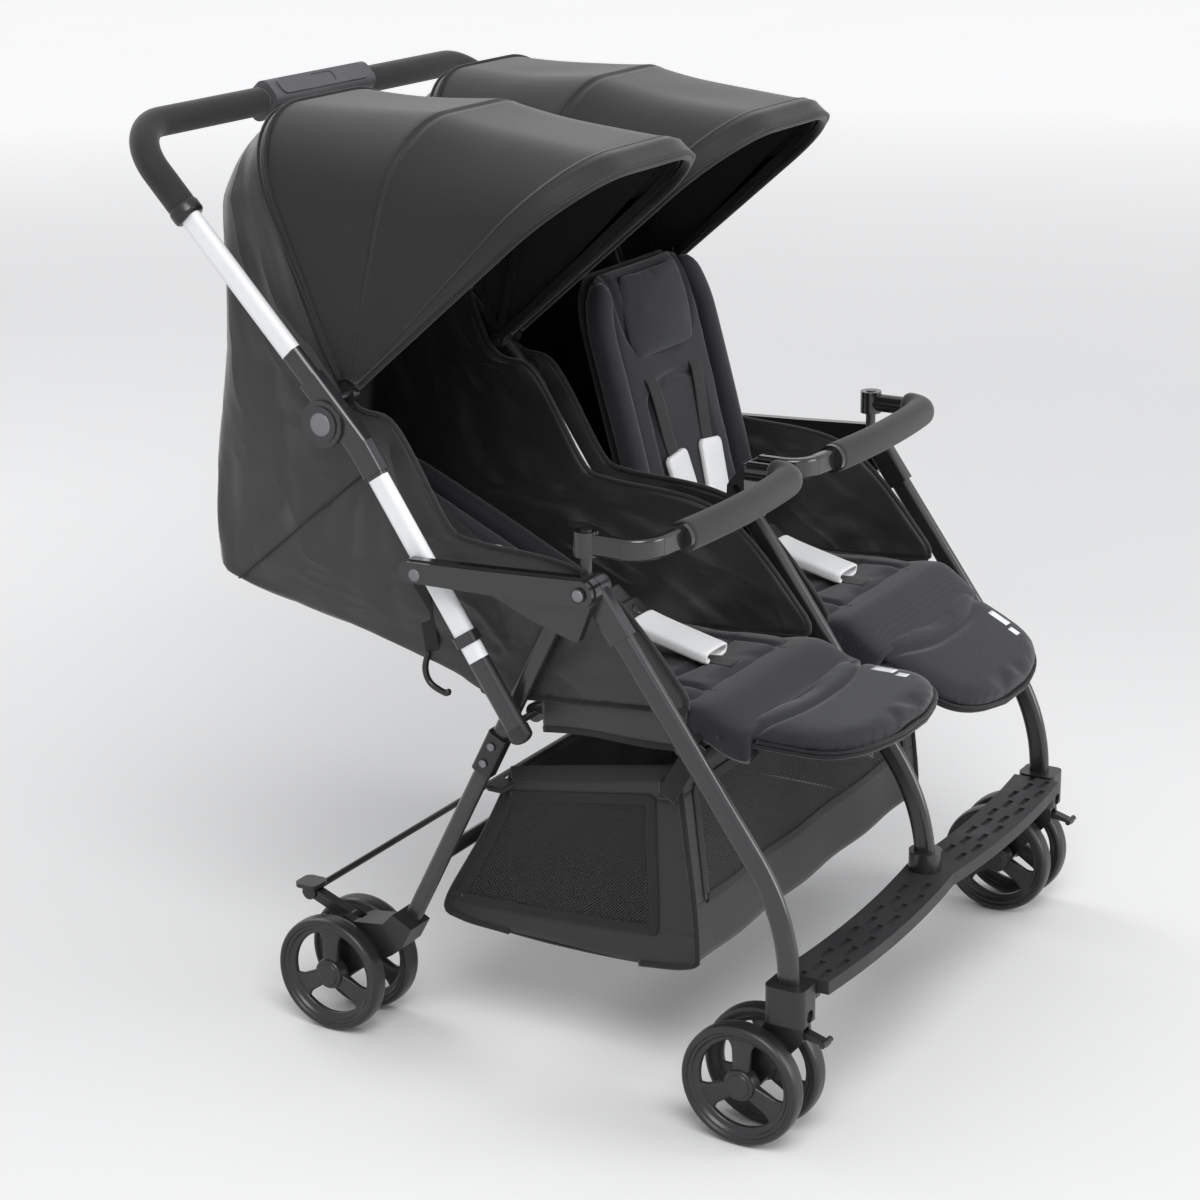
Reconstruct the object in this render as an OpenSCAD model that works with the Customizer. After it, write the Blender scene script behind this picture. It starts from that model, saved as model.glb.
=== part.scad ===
// Side-by-side double stroller: folding frame, two reclining seats, two canopies.
// Units are millimetres. +Z is up, X runs across, the stroller faces -Y.
// Every side point is a pair [y, z]; leans are degrees from upright.

/* [Frame] */
// Distance of each front leg and push tube from the middle
side_x = 345; // [335:1:355]
// Distance of each rear leg from the middle
rear_x = 321; // [319:1:322]
// Height of the pivot at the top of the front legs
leg_top_z = 580; // [570:1:590]
// Forward place of that pivot
leg_top_y = -172; // [-180:1:-166]
// Lean of the straight part of a front leg
leg_lean = 35.3; // [34:0.1:36]
// Bend radius at the foot of a front leg
leg_bend_r = 220; // [180:5:240]
// Width of a front leg's oval tube
leg_w = 25; // [22:0.5:26]
// Thickness of the front leg and push tubes
tube_t = 15; // [13:0.5:15.5]
// Width of a push tube
push_w = 26; // [22:0.5:27]
// Run of the armrest between its two pivots
armrest_run = 205; // [200:1:210]
// Fall of the armrest towards the push tube
armrest_drop = 8; // [4:1:10]
// Distance along the push tube from armrest pivot to seat pivot
link_len = 191.2; // [188:0.2:195]
// Lean of the lower push tube
push_lean_low = 33.2; // [32:0.1:34.5]
// Lower push tube above the armrest pivot
push_low_above = 150.6; // [145:0.2:156]
// Lean of the upper push tube
push_lean_high = 42.9; // [42:0.1:44]
// Upper push tube up to the crossbar
push_high_len = 439.4; // [430:0.2:450]
// Rear leg pivot behind the front leg pivot
rear_pivot_back = 52; // [50:1:56]
// Rear leg pivot below the front leg pivot
rear_pivot_drop = 35; // [32:1:38]
// Length of a rear leg
rear_leg_len = 477.6; // [470:0.2:482]
// Lean of a rear leg
rear_lean = 27.2; // [26:0.1:28]
// Width of a rear leg tube
rear_w = 20; // [18:0.5:21]
// Thickness of a rear leg tube
rear_t = 14; // [12:0.5:14.5]
// Pin radius at every frame pivot
pin_r = 4; // [3.5:0.1:4.4]
// Running clearance round a pin
pin_gap = 0.05; // [0.03:0.01:0.08]

/* [Handle] */
// Radius of the foam grip
grip_r = 16.5; // [15:0.5:18]
// Bend radius of the grip
grip_bend_r = 60; // [50:1:80]
// Length of the grip's straight end below the crossbar
grip_leg = 124; // [110:1:140]
// Length of the middle console
console_len = 200; // [150:1:240]
// Depth of the console across the bar
console_d = 46; // [40:1:52]
// Height of the console
console_h = 36; // [34:1:42]
// Length of the fold trigger
trigger_len = 62; // [40:1:70]
// Travel of the fold trigger
trigger_travel = 6; // [4:0.5:7]

/* [Wheels] */
// Wheel radius
wheel_r = 68.7; // [66:0.1:70]
// Tyre width
tyre_w = 24; // [22:0.5:25]
// Rim radius under the tyre
rim_r = 51; // [46:0.5:52]
// Front wheel centre from its caster's middle
front_wheel_off = 26; // [25.5:0.1:27]
// Rear wheel centre from its housing's middle
rear_wheel_off = 33; // [32.5:0.1:34]
// Trail of the front axle behind the swivel
caster_trail = 41; // [36:1:44]
// Underside of the caster housing
housing_z = 142; // [141:0.5:145]
// Height of the caster housing
housing_h = 42; // [36:1:46]
// Rear axle behind the end of the rear leg
rear_axle_back = 79; // [74:1:84]
// Number of spokes
spokes = 3; // [3:1:5]

/* [Seats] */
// Middle of each seat from the middle of the stroller
seat_cx = 166; // [165:0.5:167]
// Half width of the fabric shell
shell_hw = 144; // [138:0.5:144]
// Half width of the pads
pad_hw = 131; // [120:0.5:133]
// Thickness of the seat pad
pad_t = 24; // [18:1:28]
// Length of the backrest
back_len = 398; // [370:1:402]
// Thickness of the backrest with its board
back_t = 30; // [22:1:34]
// Backrest angle above level, seat at the left
back_angle_left = 25; // [24:1:30]
// Backrest angle above level, seat at the right
back_angle_right = 75; // [70:1:76]
// Length of a legrest from its hinge
leg_len = 163; // [140:1:164]
// Thickness of a legrest
leg_t = 24; // [18:1:26]
// Drop of the right legrest below level
leg_drop_right = 27; // [20:1:30]
// Radius of the seat tubes
seat_tube_r = 8; // [7:0.5:8]
// Thickness of the sewn walls
cloth_t = 3; // [2:0.5:4]

/* [Canopies] */
// Reach of the rear bow from the pivot
bow_r_rear = 318; // [300:1:322]
// Reach of the middle bow
bow_r_mid = 300; // [285:1:304]
// Reach of the front bow
bow_r_front = 382; // [360:1:390]
// Angle of the rear bow above level
bow_a_rear = 66; // [64:1:68]
// Angle of the middle bow
bow_a_mid = 104; // [100:1:108]
// Angle of the front bow
bow_a_front = 138; // [134:1:139]
// Half width of the rear bow
bow_hw = 155.5; // [155:0.1:155.6]
// Width of a bow strip
bow_w = 9; // [7:0.5:11]
// Thickness of a bow strip
bow_t = 3; // [2:0.5:3]
// Corner radius of the bows
bow_corner = 110; // [80:1:120]
// Slack of the cloth between two bows
canopy_slack = 5; // [0:1:9]

/* [Bars, basket and footplate] */
// Height of the bumper bars
bumper_z = 628; // [624:1:634]
// Front place of a bumper bar's ends
bumper_y = -238; // [-244:1:-236]
// Radius of a bumper pad
bumper_r = 17; // [14:0.5:18]
// Turn of a bumper bar's ends from straight
bumper_turn = 6; // [4:0.5:7]
// Bend radius at both ends of a bumper bar
bumper_bend = 30; // [26:1:32]
// Straight run of the flat arm before its pad
bumper_arm_run = 40; // [30:1:50]
// Half width of the basket
basket_hw = 288; // [270:1:290]
// Front place of the basket
basket_front = -262; // [-268:1:-255]
// Bottom of the basket
basket_z = 131; // [125:1:140]
// Thickness of the footplate
foot_t = 16; // [12:1:18]
// Depth of the footplate
foot_d = 58; // [50:1:62]

/* [Hidden] */
$fn = 48;
origin_y = 12.49;
fit = 0.3;
bend_draw = 0.4;
D = [leg_top_y, leg_top_z];
C = D + [armrest_run, -armrest_drop];
function lean(a, l) = [l * sin(a), l * cos(a)];
link = lean(push_lean_low, link_len);
A = C - link;
E = D - link;
K = C + lean(push_lean_low, push_low_above);
Bar = K + lean(push_lean_high, push_high_len);
Grip_end = Bar - lean(push_lean_high, grip_leg);
B = D + [rear_pivot_back, -rear_pivot_drop];
rear_dir = [sin(rear_lean), -cos(rear_lean)];
G = B + rear_leg_len * rear_dir;
rear_axle = [G[0] + rear_axle_back, wheel_r];
housing_top = housing_z + housing_h;
leg_run = (D[1] - housing_top - leg_bend_r * sin(leg_lean)) / cos(leg_lean);
foot_y = D[0] - leg_run * sin(leg_lean) - leg_bend_r * (1 - cos(leg_lean));
front_axle = [foot_y + caster_trail, wheel_r];
leg_knee = D - lean(leg_lean, leg_run);
rear_cx = rear_x + 4;
bore_r = pin_r + pin_gap;
seat_in = seat_cx - pad_hw;
seat_out = seat_cx + pad_hw;
seat_slope = atan2(A[1] - E[1], A[0] - E[0]);
seat_tilt = [sin(seat_slope), cos(seat_slope)];
leg_hinge = E + [-24, 5];
back_hinge = [-30, 437];
P = K + lean(push_lean_high, 62) + [-10, 3];
armrest_in = side_x + tube_t / 2 + 2.5;
armrest_t = 18;
plate_in = rear_x + rear_t / 2 + 1.5;
plate_t = 6;
brake_pivot = rear_axle + [-10, 58];
brake_rod = rear_axle + [47, 80];

// Shared shapes

module left() { mirror([1, 0, 0]) children(); }

module both() {
  children();
  mirror([1, 0, 0]) children();
}

// oval section: t across X, w in the side plane
module oval(t, w) {
  square([t, w - t], center = true);
  translate([0, (w - t) / 2]) circle(d = t);
  translate([0, (t - w) / 2]) circle(d = t);
}

module rounded(w, h, r) {
  square([w - 2 * r, h], center = true);
  square([w, h - 2 * r], center = true);
  for (sx = [-1, 1], sy = [-1, 1])
    translate([sx * (w / 2 - r), sy * (h / 2 - r)]) circle(r = r);
}

// bar between two side points, profile x across and y in the side plane
module side_bar(p, q) {
  d = q - p;
  translate([0, p[0], p[1]]) rotate([-atan2(d[0], d[1]), 0, 0])
    linear_extrude(norm(d)) children();
}

// cylinder along X at a side point
module cross_pin(p, x0, x1, r) {
  translate([x0, p[0], p[1]]) rotate([0, 90, 0]) cylinder(r = r, h = x1 - x0);
}

// flat plate in the side plane
module side_plate(x0, x1) {
  translate([x0, 0, 0]) rotate([90, 0, 90]) linear_extrude(x1 - x0) children();
}

// closed sheet between two grids of points
module sheet(top, low) {
  n = len(top);
  m = len(top[0]);
  pts = concat([for (r = top) each r], [for (r = low) each r]);
  o = n * m;
  face = [for (i = [0 : n - 2], j = [0 : m - 2])
    let (a = i * m + j, b = a + 1, c = a + m + 1, d = a + m) each [[a, b, c], [a, c, d]]];
  back = [for (f = face) [f[2] + o, f[1] + o, f[0] + o]];
  rim = concat([for (j = [0 : m - 1]) j], [for (i = [1 : n - 1]) i * m + m - 1],
    [for (j = [m - 2 : -1 : 0]) (n - 1) * m + j], [for (i = [n - 2 : -1 : 1]) i * m]);
  k = len(rim);
  wall = [for (i = [0 : k - 1]) let (a = rim[i], b = rim[(i + 1) % k])
    each [[b, a, a + o], [b, a + o, b + o]]];
  polyhedron(points = pts, faces = concat(face, back, wall), convexity = 8);
}

// offset an open side outline to its left by t
function outline_normal(p, i) =
  let (a = p[max(i - 1, 0)], b = p[min(i + 1, len(p) - 1)], d = b - a)
  [-d[1], d[0]] / norm(d);
function outline_offset(p, t) = [for (i = [0 : len(p) - 1]) p[i] + t * outline_normal(p, i)];
function reversed(p) = [for (i = [len(p) - 1 : -1 : 0]) p[i]];

// Front frame

module leg_tube() {
  // the bent end is drawn a hair slimmer and enters the straight tube
  side_bar(leg_knee - lean(leg_lean, 2), D) oval(tube_t, leg_w);
  translate([0, foot_y + leg_bend_r, housing_top]) rotate([0, 90, 0])
    rotate([0, 0, -90 - leg_lean]) rotate_extrude(angle = leg_lean, $fn = 96)
      translate([leg_bend_r, 0]) rotate(90) oval(tube_t - bend_draw, leg_w - bend_draw);
}

module front_leg() {
  color("dimgray") difference() {
    union() {
      translate([side_x, 0, 0]) {
        leg_tube();
        cross_pin(D, -tube_t / 2, tube_t / 2, 16);
        // top sleeve of the tube
        side_bar(D - lean(leg_lean, 62), D - lean(leg_lean, 4)) rounded(tube_t + 3, leg_w + 5, 5);
        translate([0, D[0] + 7, D[1] + 8]) cylinder(r = 6, h = bumper_z + 15 - D[1] - 8);
      }
      cross_pin(E, seat_out - 8, side_x - tube_t / 2 + 1, pin_r);
      cross_pin(E, side_x - tube_t / 2 - 4, side_x, 9);
    }
    cross_pin(D, plate_in - 1, armrest_in + armrest_t + 1, bore_r);
  }
}

module centre_front_leg() {
  color("dimgray") {
    leg_tube();
    // saddle that both bumper bars close against, cut back where the folded canopy's bows pass
    difference() {
      side_plate(-bumper_gap - 11, bumper_gap + 11) polygon([[D[0] - 12, D[1] - 14], [D[0] + 14, D[1]],
        [D[0] + 12, bumper_z - 16], [bumper_latch + 1, bumper_z + 10.5], [bumper_latch, bumper_z + 10.5],
        [bumper_latch, bumper_z - 14]]);
      cross_pin(D + [0, 28], -bumper_gap - 12, bumper_gap + 12, 5);
    }
    cross_pin(E, -seat_in - 8, seat_in + 8, pin_r);
    cross_pin(E, -tube_t / 2 - 4, tube_t / 2 + 4, 9);
    translate([0, foot_y, housing_top - 1]) cylinder(r = 19, h = 22);
    translate([0, foot_y, housing_top - foot_t - 9.7]) cylinder(r = 19, h = 9);
    translate([0, foot_y, housing_top - foot_t - 9.7]) cylinder(r = 5, h = foot_t + 12);
  }
}

// plan of one half of the footplate, front edge bowed forward
module foot_half() {
  w = side_x - 23;
  bow = 9;
  r = (w * w / 4 + bow * bow) / (2 * bow);
  difference() {
    union() {
      translate([0, foot_y - foot_d / 2 - 6]) square([w, foot_d]);
      intersection() {
        translate([w / 2, foot_y - foot_d / 2 - 6 - bow + r]) circle(r = r, $fn = 200);
        translate([0, foot_y - foot_d]) square([w, foot_d]);
      }
    }
    translate([w / 2, foot_y + foot_d / 2 - 6 + r - bow]) circle(r = r, $fn = 200);
  }
}

module footplate() {
  slot = 24;
  color("slategray") difference() {
    translate([0, 0, housing_top - foot_t - fit - 0.4]) both() linear_extrude(foot_t - 1) foot_half();
    translate([0, foot_y, 0]) cylinder(r = 5.3, h = 400);
    // staggered tread grooves, two rows a half
    both() for (i = [0 : 8], j = [0 : 1])
      translate([38 + i * (slot + 8) + j * (slot + 8) / 2, foot_y - 26 + j * 21 - 6 * (i % 2), housing_top - 4.8])
        cube([slot, 7, 10]);
    // moulded recess below each half
    both() translate([40, foot_y - foot_d / 2 + 4, housing_top - foot_t - 2])
      linear_extrude(8) square([side_x - 110, foot_d - 26]);
  }
}

module caster_housings() {
  color("dimgray") both() difference() {
    union() {
      translate([side_x, foot_y - 2, housing_z]) linear_extrude(housing_h - fit) rounded(40, 46, 10);
      translate([side_x - 30, foot_y - 22, housing_top - foot_t - fit - 6]) cube([14, 40, 5.2]);
    }
    translate([side_x, foot_y, housing_z - 1]) cylinder(r = 7 + pin_gap, h = housing_h - 12);
    translate([side_x, foot_y - 24, housing_z + 8]) rotate([90, 0, 0]) cylinder(r = 7, h = 6, center = true);
  }
}

module hinge_plates() {
  color("black") both() {
    side_plate(plate_in, plate_in + plate_t) {
      translate(D) circle(r = 14);
      translate(B) circle(r = 14);
      translate((D + B) / 2) rotate(atan2(B[1] - D[1], B[0] - D[0]))
        square([norm(B - D), 24], center = true);
    }
    cross_pin(D, plate_in, armrest_in + armrest_t + 2, pin_r);
    cross_pin(B, rear_x - rear_t / 2 - 2, plate_in + 1, pin_r);
    cross_pin(D, armrest_in + armrest_t + fit, armrest_in + armrest_t + 3, 8);
  }
}

// Basket

basket_floor = [[-30, 326], [8, 250], [62, 156], [46, basket_z + 8], [-60, basket_z],
  [-190, basket_z + 2], [basket_front + 12, basket_z + 12], [basket_front, basket_z + 34],
  [basket_front + 14, 300], [basket_front + 22, 366]];

module basket() {
  strap_x = seat_out + 9;
  inner = outline_offset(basket_floor, -cloth_t);
  n = len(basket_floor) - 1;
  color([0.2, 0.2, 0.22]) {
    difference() {
      side_plate(-basket_hw, basket_hw) polygon(basket_floor);
      side_plate(cloth_t - basket_hw, basket_hw - cloth_t)
        polygon(concat(inner, [inner[n] + [6, 60], inner[0] + [-6, 90]]));
    }
    // rear tabs to the rear legs and front straps up to the seat pins
    both() {
      translate([basket_hw - 2, -34, 308])
        cube([rear_x - rear_t / 2 - fit - basket_hw + 2, 22, 16]);
      side_plate(basket_hw - 2, strap_x + 6) polygon([[basket_front + 16, 330],
        [basket_front + 46, 354], [basket_front + 42, 366], [basket_front + 14, 350]]);
      side_plate(strap_x, strap_x + 6) polygon([[basket_front + 16, 330],
        [basket_front + 46, 354], [E[0] + 5, E[1] - pin_r - fit], [E[0] - 5, E[1] - pin_r - fit]]);
    }
  }
}

// Casters and wheels

module wheel() {
  rotate([0, 90, 0]) {
    color([0.25, 0.25, 0.25]) rotate_extrude($fn = 96) {
      difference() {
        translate([wheel_r - tyre_w / 2, 0]) circle(d = tyre_w);
        translate([0, -tyre_w]) square([rim_r + 0.05, 2 * tyre_w]);
      }
    }
    color([0.4, 0.4, 0.4]) difference() {
      union() {
        rotate_extrude($fn = 96) translate([rim_r - 6, -9]) square([6, 18]);
        cylinder(r = rim_r - 3, h = 6, center = true);
        translate([0, 0, -tyre_w / 2 + 0.6]) cylinder(r = 14, h = tyre_w);
        rotate_extrude($fn = 96) translate([rim_r - 12, -5]) square([8, 10]);
      }
      // kidney windows between the spokes
      for (i = [0 : spokes - 1]) rotate(i * 360 / spokes) translate([0, 0, -8])
        rotate_extrude(angle = 360 / spokes - 30, $fn = 96) translate([19, 0]) square([rim_r - 34, 16]);
      translate([0, 0, -20]) cylinder(r = bore_r, h = 20 + tyre_w / 2 - 3);
    }
  }
}

module caster_fork() {
  color([0.22, 0.22, 0.22]) {
    w = 2 * front_wheel_off - tyre_w - 6;
    difference() {
      union() {
        translate([side_x, 0, 0]) {
          cross_pin(front_axle, -w / 2, w / 2, 15);
          side_plate(-w / 2, w / 2) polygon([[front_axle[0] + 14, wheel_r + 6],
            [foot_y + 20, housing_z - fit], [foot_y - 20, housing_z - fit],
            [foot_y - 22, housing_z - 18], [front_axle[0] - 14, wheel_r - 4]]);
        }
        translate([side_x, foot_y, housing_z - 8]) cylinder(r = 7, h = housing_h - 8);
      }
      // slot for the swivel lock
      translate([side_x - 6, foot_y - 30, housing_z - 22]) cube([12, 20, 16]);
    }
    translate([side_x, foot_y - 15, housing_z - 14]) rotate([0, 90, 0]) cylinder(r = 2, h = w - 2, center = true);
    cross_pin(front_axle, side_x - front_wheel_off - tyre_w / 2 + 4,
      side_x + front_wheel_off + tyre_w / 2 - 4, pin_r);
  }
}

module swivel_lock() {
  y = foot_y - 15;
  z = housing_z - 14;
  color([0.3, 0.3, 0.3]) difference() {
    union() {
      cross_pin([y, z], side_x - 5.6, side_x + 5.6, 4.2);
      side_plate(side_x - 5.6, side_x + 5.6) polygon([[y, z + 4], [y - 10, z + 4], [y - 30, z - 2],
        [y - 32, z - 6], [y - 10, z - 3], [y, z - 4]]);
      cross_pin([y - 29, z - 3], side_x - 10, side_x + 10, 3.4);
    }
    cross_pin([y, z], side_x - 10, side_x + 10, 2 + pin_gap);
  }
}

module front_wheel(s) {
  translate([side_x + s * front_wheel_off, front_axle[0], front_axle[1]])
    mirror([s < 0 ? 1 : 0, 0, 0]) wheel();
}

module rear_wheel(s) {
  translate([rear_cx + s * rear_wheel_off, rear_axle[0], rear_axle[1]])
    mirror([s < 0 ? 1 : 0, 0, 0]) wheel();
}

// Armrests

// beam of the armrest in the side plane, inset from its outline
module armrest_beam(inset) {
  rear = C + [9, 2];
  translate(rear) circle(r = 13.4 - inset);
  translate(D) circle(r = 17 - inset);
  polygon([rear + [0, 13 - inset], rear + [-100, 17 - inset], D + [3, 16.6 - inset],
    D + [3, -15 + inset], rear + [-100, -12 + inset], rear + [0, -13 + inset]]);
}

module armrest() {
  x1 = armrest_in + armrest_t;
  color([0.16, 0.16, 0.16]) difference() {
    union() {
      // inner half carries the gusset over the rear leg's pivot
      side_plate(armrest_in, armrest_in + 11) {
        armrest_beam(0);
        polygon([D + [-12, -8], D + [6, -54], D + [14, -54], B + [16, -2], C + [-86, -8], D + [0, 6]]);
      }
      side_plate(armrest_in + 10, x1) armrest_beam(1.6);
      cross_pin(C, armrest_in - tube_t - 4, armrest_in + 2, pin_r);
    }
    cross_pin(D, armrest_in - 1, x1 + 1, bore_r);
  }
}

// Push frame

module push_tube_body(top) {
  side_bar(A - lean(push_lean_low, 17), K + lean(push_lean_low, 1.2)) oval(tube_t, push_w);
  side_bar(K - lean(push_lean_high, 1.2), top) oval(tube_t, push_w);
}

module push_tube() {
  color("white") difference() {
    union() {
      translate([side_x, 0, 0]) {
        push_tube_body(Grip_end - lean(push_lean_high, 0.2));
        // dark sleeve over the bend and its round cap
        side_bar(K - lean(push_lean_low, 34), K + lean(push_lean_low, 2)) rounded(tube_t + 4, push_w + 4, 6);
        side_bar(K, K + lean(push_lean_high, 92)) rounded(tube_t + 4, push_w + 4, 6);
        cross_pin(K + [42, 22], -tube_t / 2, tube_t / 2 + 6, 26);
        cross_pin(K + [42, 22], tube_t / 2, tube_t / 2 + 8, 20);
        // collar below the armrest
        side_bar(C - lean(push_lean_low, 92), C - lean(push_lean_low, 80)) rounded(tube_t + 4, push_w + 4, 6);
      }
      cross_pin(P, seat_cx + bow_hw - 14, side_x, pin_r);
      cross_pin(A, seat_out - 8, side_x, pin_r);
    }
    cross_pin(C, side_x - tube_t, armrest_in + 4, bore_r);
  }
}

module centre_push_tube() {
  color("white") {
    // sleeve over the bend
    side_bar(K - lean(push_lean_low, 16), K + lean(push_lean_low, 2)) rounded(tube_t + 3, push_w + 4, 6);
    side_bar(K, K + lean(push_lean_high, 16)) rounded(tube_t + 3, push_w + 4, 6);
    push_tube_body(Bar - lean(push_lean_high, console_h / 2 + 0.1));
    cross_pin(P, bow_hw - 9 - seat_cx - 4, seat_cx - bow_hw + 13, pin_r);
    cross_pin(A, -seat_in - 8, seat_in + 8, pin_r);
  }
}

module on_bar() { translate([0, Bar[0], Bar[1]]) rotate([-push_lean_high, 0, 0]) children(); }

module handle_grip() {
  s = side_x - grip_bend_r;
  color([0.15, 0.15, 0.15]) on_bar() {
    both() {
      translate([console_len / 2 + 0.2, 0, 0]) rotate([0, 90, 0]) cylinder(r = grip_r, h = s - console_len / 2 - 0.2);
      translate([s, 0, -grip_bend_r]) rotate([90, 0, 0]) rotate_extrude(angle = 90, $fn = 96)
        translate([grip_bend_r, 0]) circle(r = grip_r);
      translate([side_x, 0, 12 - grip_leg]) cylinder(r = grip_r, h = grip_leg - 12 - grip_bend_r);
      translate([side_x, 0, -grip_leg]) cylinder(r = grip_r + 1.5, h = 16);
    }
  }
}

module handle_console() {
  color("gray") on_bar() difference() {
    union() {
      rotate([90, 0, 90]) linear_extrude(console_len, center = true) rounded(console_d, console_h, 12);
      translate([0, -console_d / 2 + 1, 0]) rotate([90, 0, 0]) linear_extrude(3) rounded(console_len - 30, console_h - 14, 8);
    }
    // bare oval recess on top
    translate([0, -console_d / 2 - 1, 0]) rotate([90, 0, 0]) linear_extrude(4) rounded(46, 16, 7.5);
    // pocket of the fold trigger
    translate([-console_len / 2 + 14, -9.4, -console_h / 2 - 1]) cube([trigger_len + 0.8, 18.8, trigger_travel + 8]);
  }
}

module fold_trigger() {
  color("black") on_bar() translate([-console_len / 2 + 14.4, 0, 0]) {
    translate([0, -9, -console_h / 2 - 9]) cube([trigger_len, 18, 15]);
    translate([trigger_len / 2, 0, -console_h / 2 - 9]) rotate([0, 90, 0])
      cylinder(r = 9, h = trigger_len, center = true);
  }
}

// Sewn seat shells

// the shell is sewn up to the underside of the rear bow
shell_top = P[1] + (bow_r_rear - bow_t) * sin(bow_a_rear) - bow_w / 2 * cos(bow_a_rear) - fit;
shell_back = [[6, 424], [60, 446], [166, 470], [334, 506], [356, 545], [350, 640],
  [329, 800], [325, 945], [303, shell_top - 22], [286, shell_top + 2]];
shell_front = [[-262, 446], [-257, 472], [-150, 578], [-2, 598], [58, 610], [126, 714]];

module arch(hw, top, r) {
  translate([seat_cx, 0, 0]) rotate([90, 0, 0]) linear_extrude(900, center = true) {
    translate([-hw, 430]) square([2 * hw, top - r - 430]);
    translate([r - hw, 430]) square([2 * (hw - r), top - 430]);
    for (s = [-1, 1]) translate([s * (hw - r), top - r]) circle(r = r);
  }
}

module seat_shell() {
  n = len(shell_back) - 1;
  bow = [P + 22 * [cos(bow_a_rear), sin(bow_a_rear)] + [16, -10],
    shell_back[n] + [-12, 0]];
  outline = concat(shell_front, bow, reversed(shell_back));
  band = concat(shell_back, reversed(outline_offset(shell_back, cloth_t)));
  color([0.18, 0.18, 0.19]) {
    intersection() {
      side_plate(0, 2 * seat_cx) polygon(outline);
      difference() {
        arch(shell_hw, shell_top, 110);
        arch(shell_hw - cloth_t, shell_top - cloth_t, 110 - cloth_t);
        translate([seat_cx, 0, 0]) cube([2 * (shell_hw - cloth_t), 900, 2 * 500], center = true);
      }
    }
    intersection() {
      side_plate(0, 2 * seat_cx) polygon(band);
      arch(shell_hw, shell_top, 110);
    }
  }
}

module recline_straps() {
  x = seat_cx + shell_hw + fit;
  color("black") both() {
    side_plate(x, x + 1.6) polygon([C + [32, 18], C + [52, 16], [C[0] + 30, 462], [C[0] + 8, 462]]);
    // clip beside the push tube and hook hanging at the shell's edge
    side_plate(x + 1.6, side_x - tube_t / 2 - fit) translate(C + [40, 16]) circle(r = 9);
    side_plate(x, x + 9) polygon([[C[0] + 8, 462], [C[0] + 34, 462], [C[0] + 36, 440],
      [C[0] + 24, 420], [C[0] - 2, 416], [C[0] - 2, 423], [C[0] + 17, 428], [C[0] + 24, 442]]);
  }
}

// Canopies

// point on the rounded arch of half width hw and reach r, f from 0 to 1 along it
function arch_point(hw, r, c, near, f) =
  let (leg = r - c - near, arc = c * PI / 2, top = 2 * (hw - c), g = (f > 0.5 ? 1 - f : f) * (2 * leg + 2 * arc + top),
    s = f > 0.5 ? -1 : 1, t = (g - leg) / arc * 90,
    q = g < leg ? [hw, near + g] : g < leg + arc ? [hw - c + c * cos(t), r - c + c * sin(t)]
      : [hw - c - (g - leg - arc), r])
  [s * q[0], q[1]];

module bow(a, hw, r) {
  leg = r - bow_corner;
  translate([seat_cx, P[0], P[1]]) rotate([a, 0, 0]) difference() {
    union() {
      for (m = [0, 1]) mirror([m, 0, 0]) {
        translate([hw - bow_t, 0, -bow_w / 2]) cube([bow_t, leg, bow_w]);
        translate([hw - bow_corner, leg, -bow_w / 2]) rotate_extrude(angle = 90, $fn = 96)
          translate([bow_corner - bow_t, 0]) square([bow_t, bow_w]);
        translate([hw - bow_t, 0, 0]) rotate([0, 90, 0]) cylinder(r = 9, h = bow_t);
      }
      translate([bow_corner - hw, r - bow_t, -bow_w / 2]) cube([2 * (hw - bow_corner), bow_t, bow_w]);
    }
    translate([-hw - 9, 0, 0]) rotate([0, 90, 0]) cylinder(r = bore_r, h = 2 * hw + 18);
  }
}

module rear_bow() { color("black") bow(bow_a_rear, bow_hw, bow_r_rear); }
module mid_bow() { color("black") bow(bow_a_mid, bow_hw - bow_t - 0.5, bow_r_mid); }
module front_bow() { color("black") bow(bow_a_front, bow_hw - 2 * bow_t - 1, bow_r_front); }

// reach of the cloth: level over each bow, straight from bow to bow less the slack
level = 1.4;
function cloth_reach(a) =
  let (front = a > bow_a_mid, a0 = (front ? bow_a_mid : bow_a_rear) + level,
    a1 = (front ? bow_a_front : bow_a_mid) - level, r0 = front ? bow_r_mid : bow_r_rear,
    r1 = front ? bow_r_front : bow_r_mid, t = min(max((a - a0) / (a1 - a0), 0), 1))
  r0 * (1 - t) + r1 * t + 4 * t * (1 - t) * (front ? -canopy_slack : canopy_slack);
function steps_between(a, b, n) = [for (i = [0 : n]) a + (b - a) * i / n];

module canopy_cloth() {
  n = 36;
  hw = bow_hw + fit;
  corner = bow_corner - 4;
  rows = concat([bow_a_rear - level / 2], steps_between(bow_a_rear + level, bow_a_mid - level, 5),
    steps_between(bow_a_mid + level, bow_a_front - level, 6), [bow_a_front + level]);
  function curve(a, t) =
    let (r = cloth_reach(a) + 1.6)
    [for (j = [0 : n]) let (q = arch_point(hw + t, r + t, corner, 17, j / n))
      [seat_cx + q[0], P[0] + q[1] * cos(a), P[1] + q[1] * sin(a)]];
  color([0.2, 0.2, 0.21]) sheet([for (a = rows) curve(a, 2)], [for (a = rows) curve(a, 0)]);
}

// Seats

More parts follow.
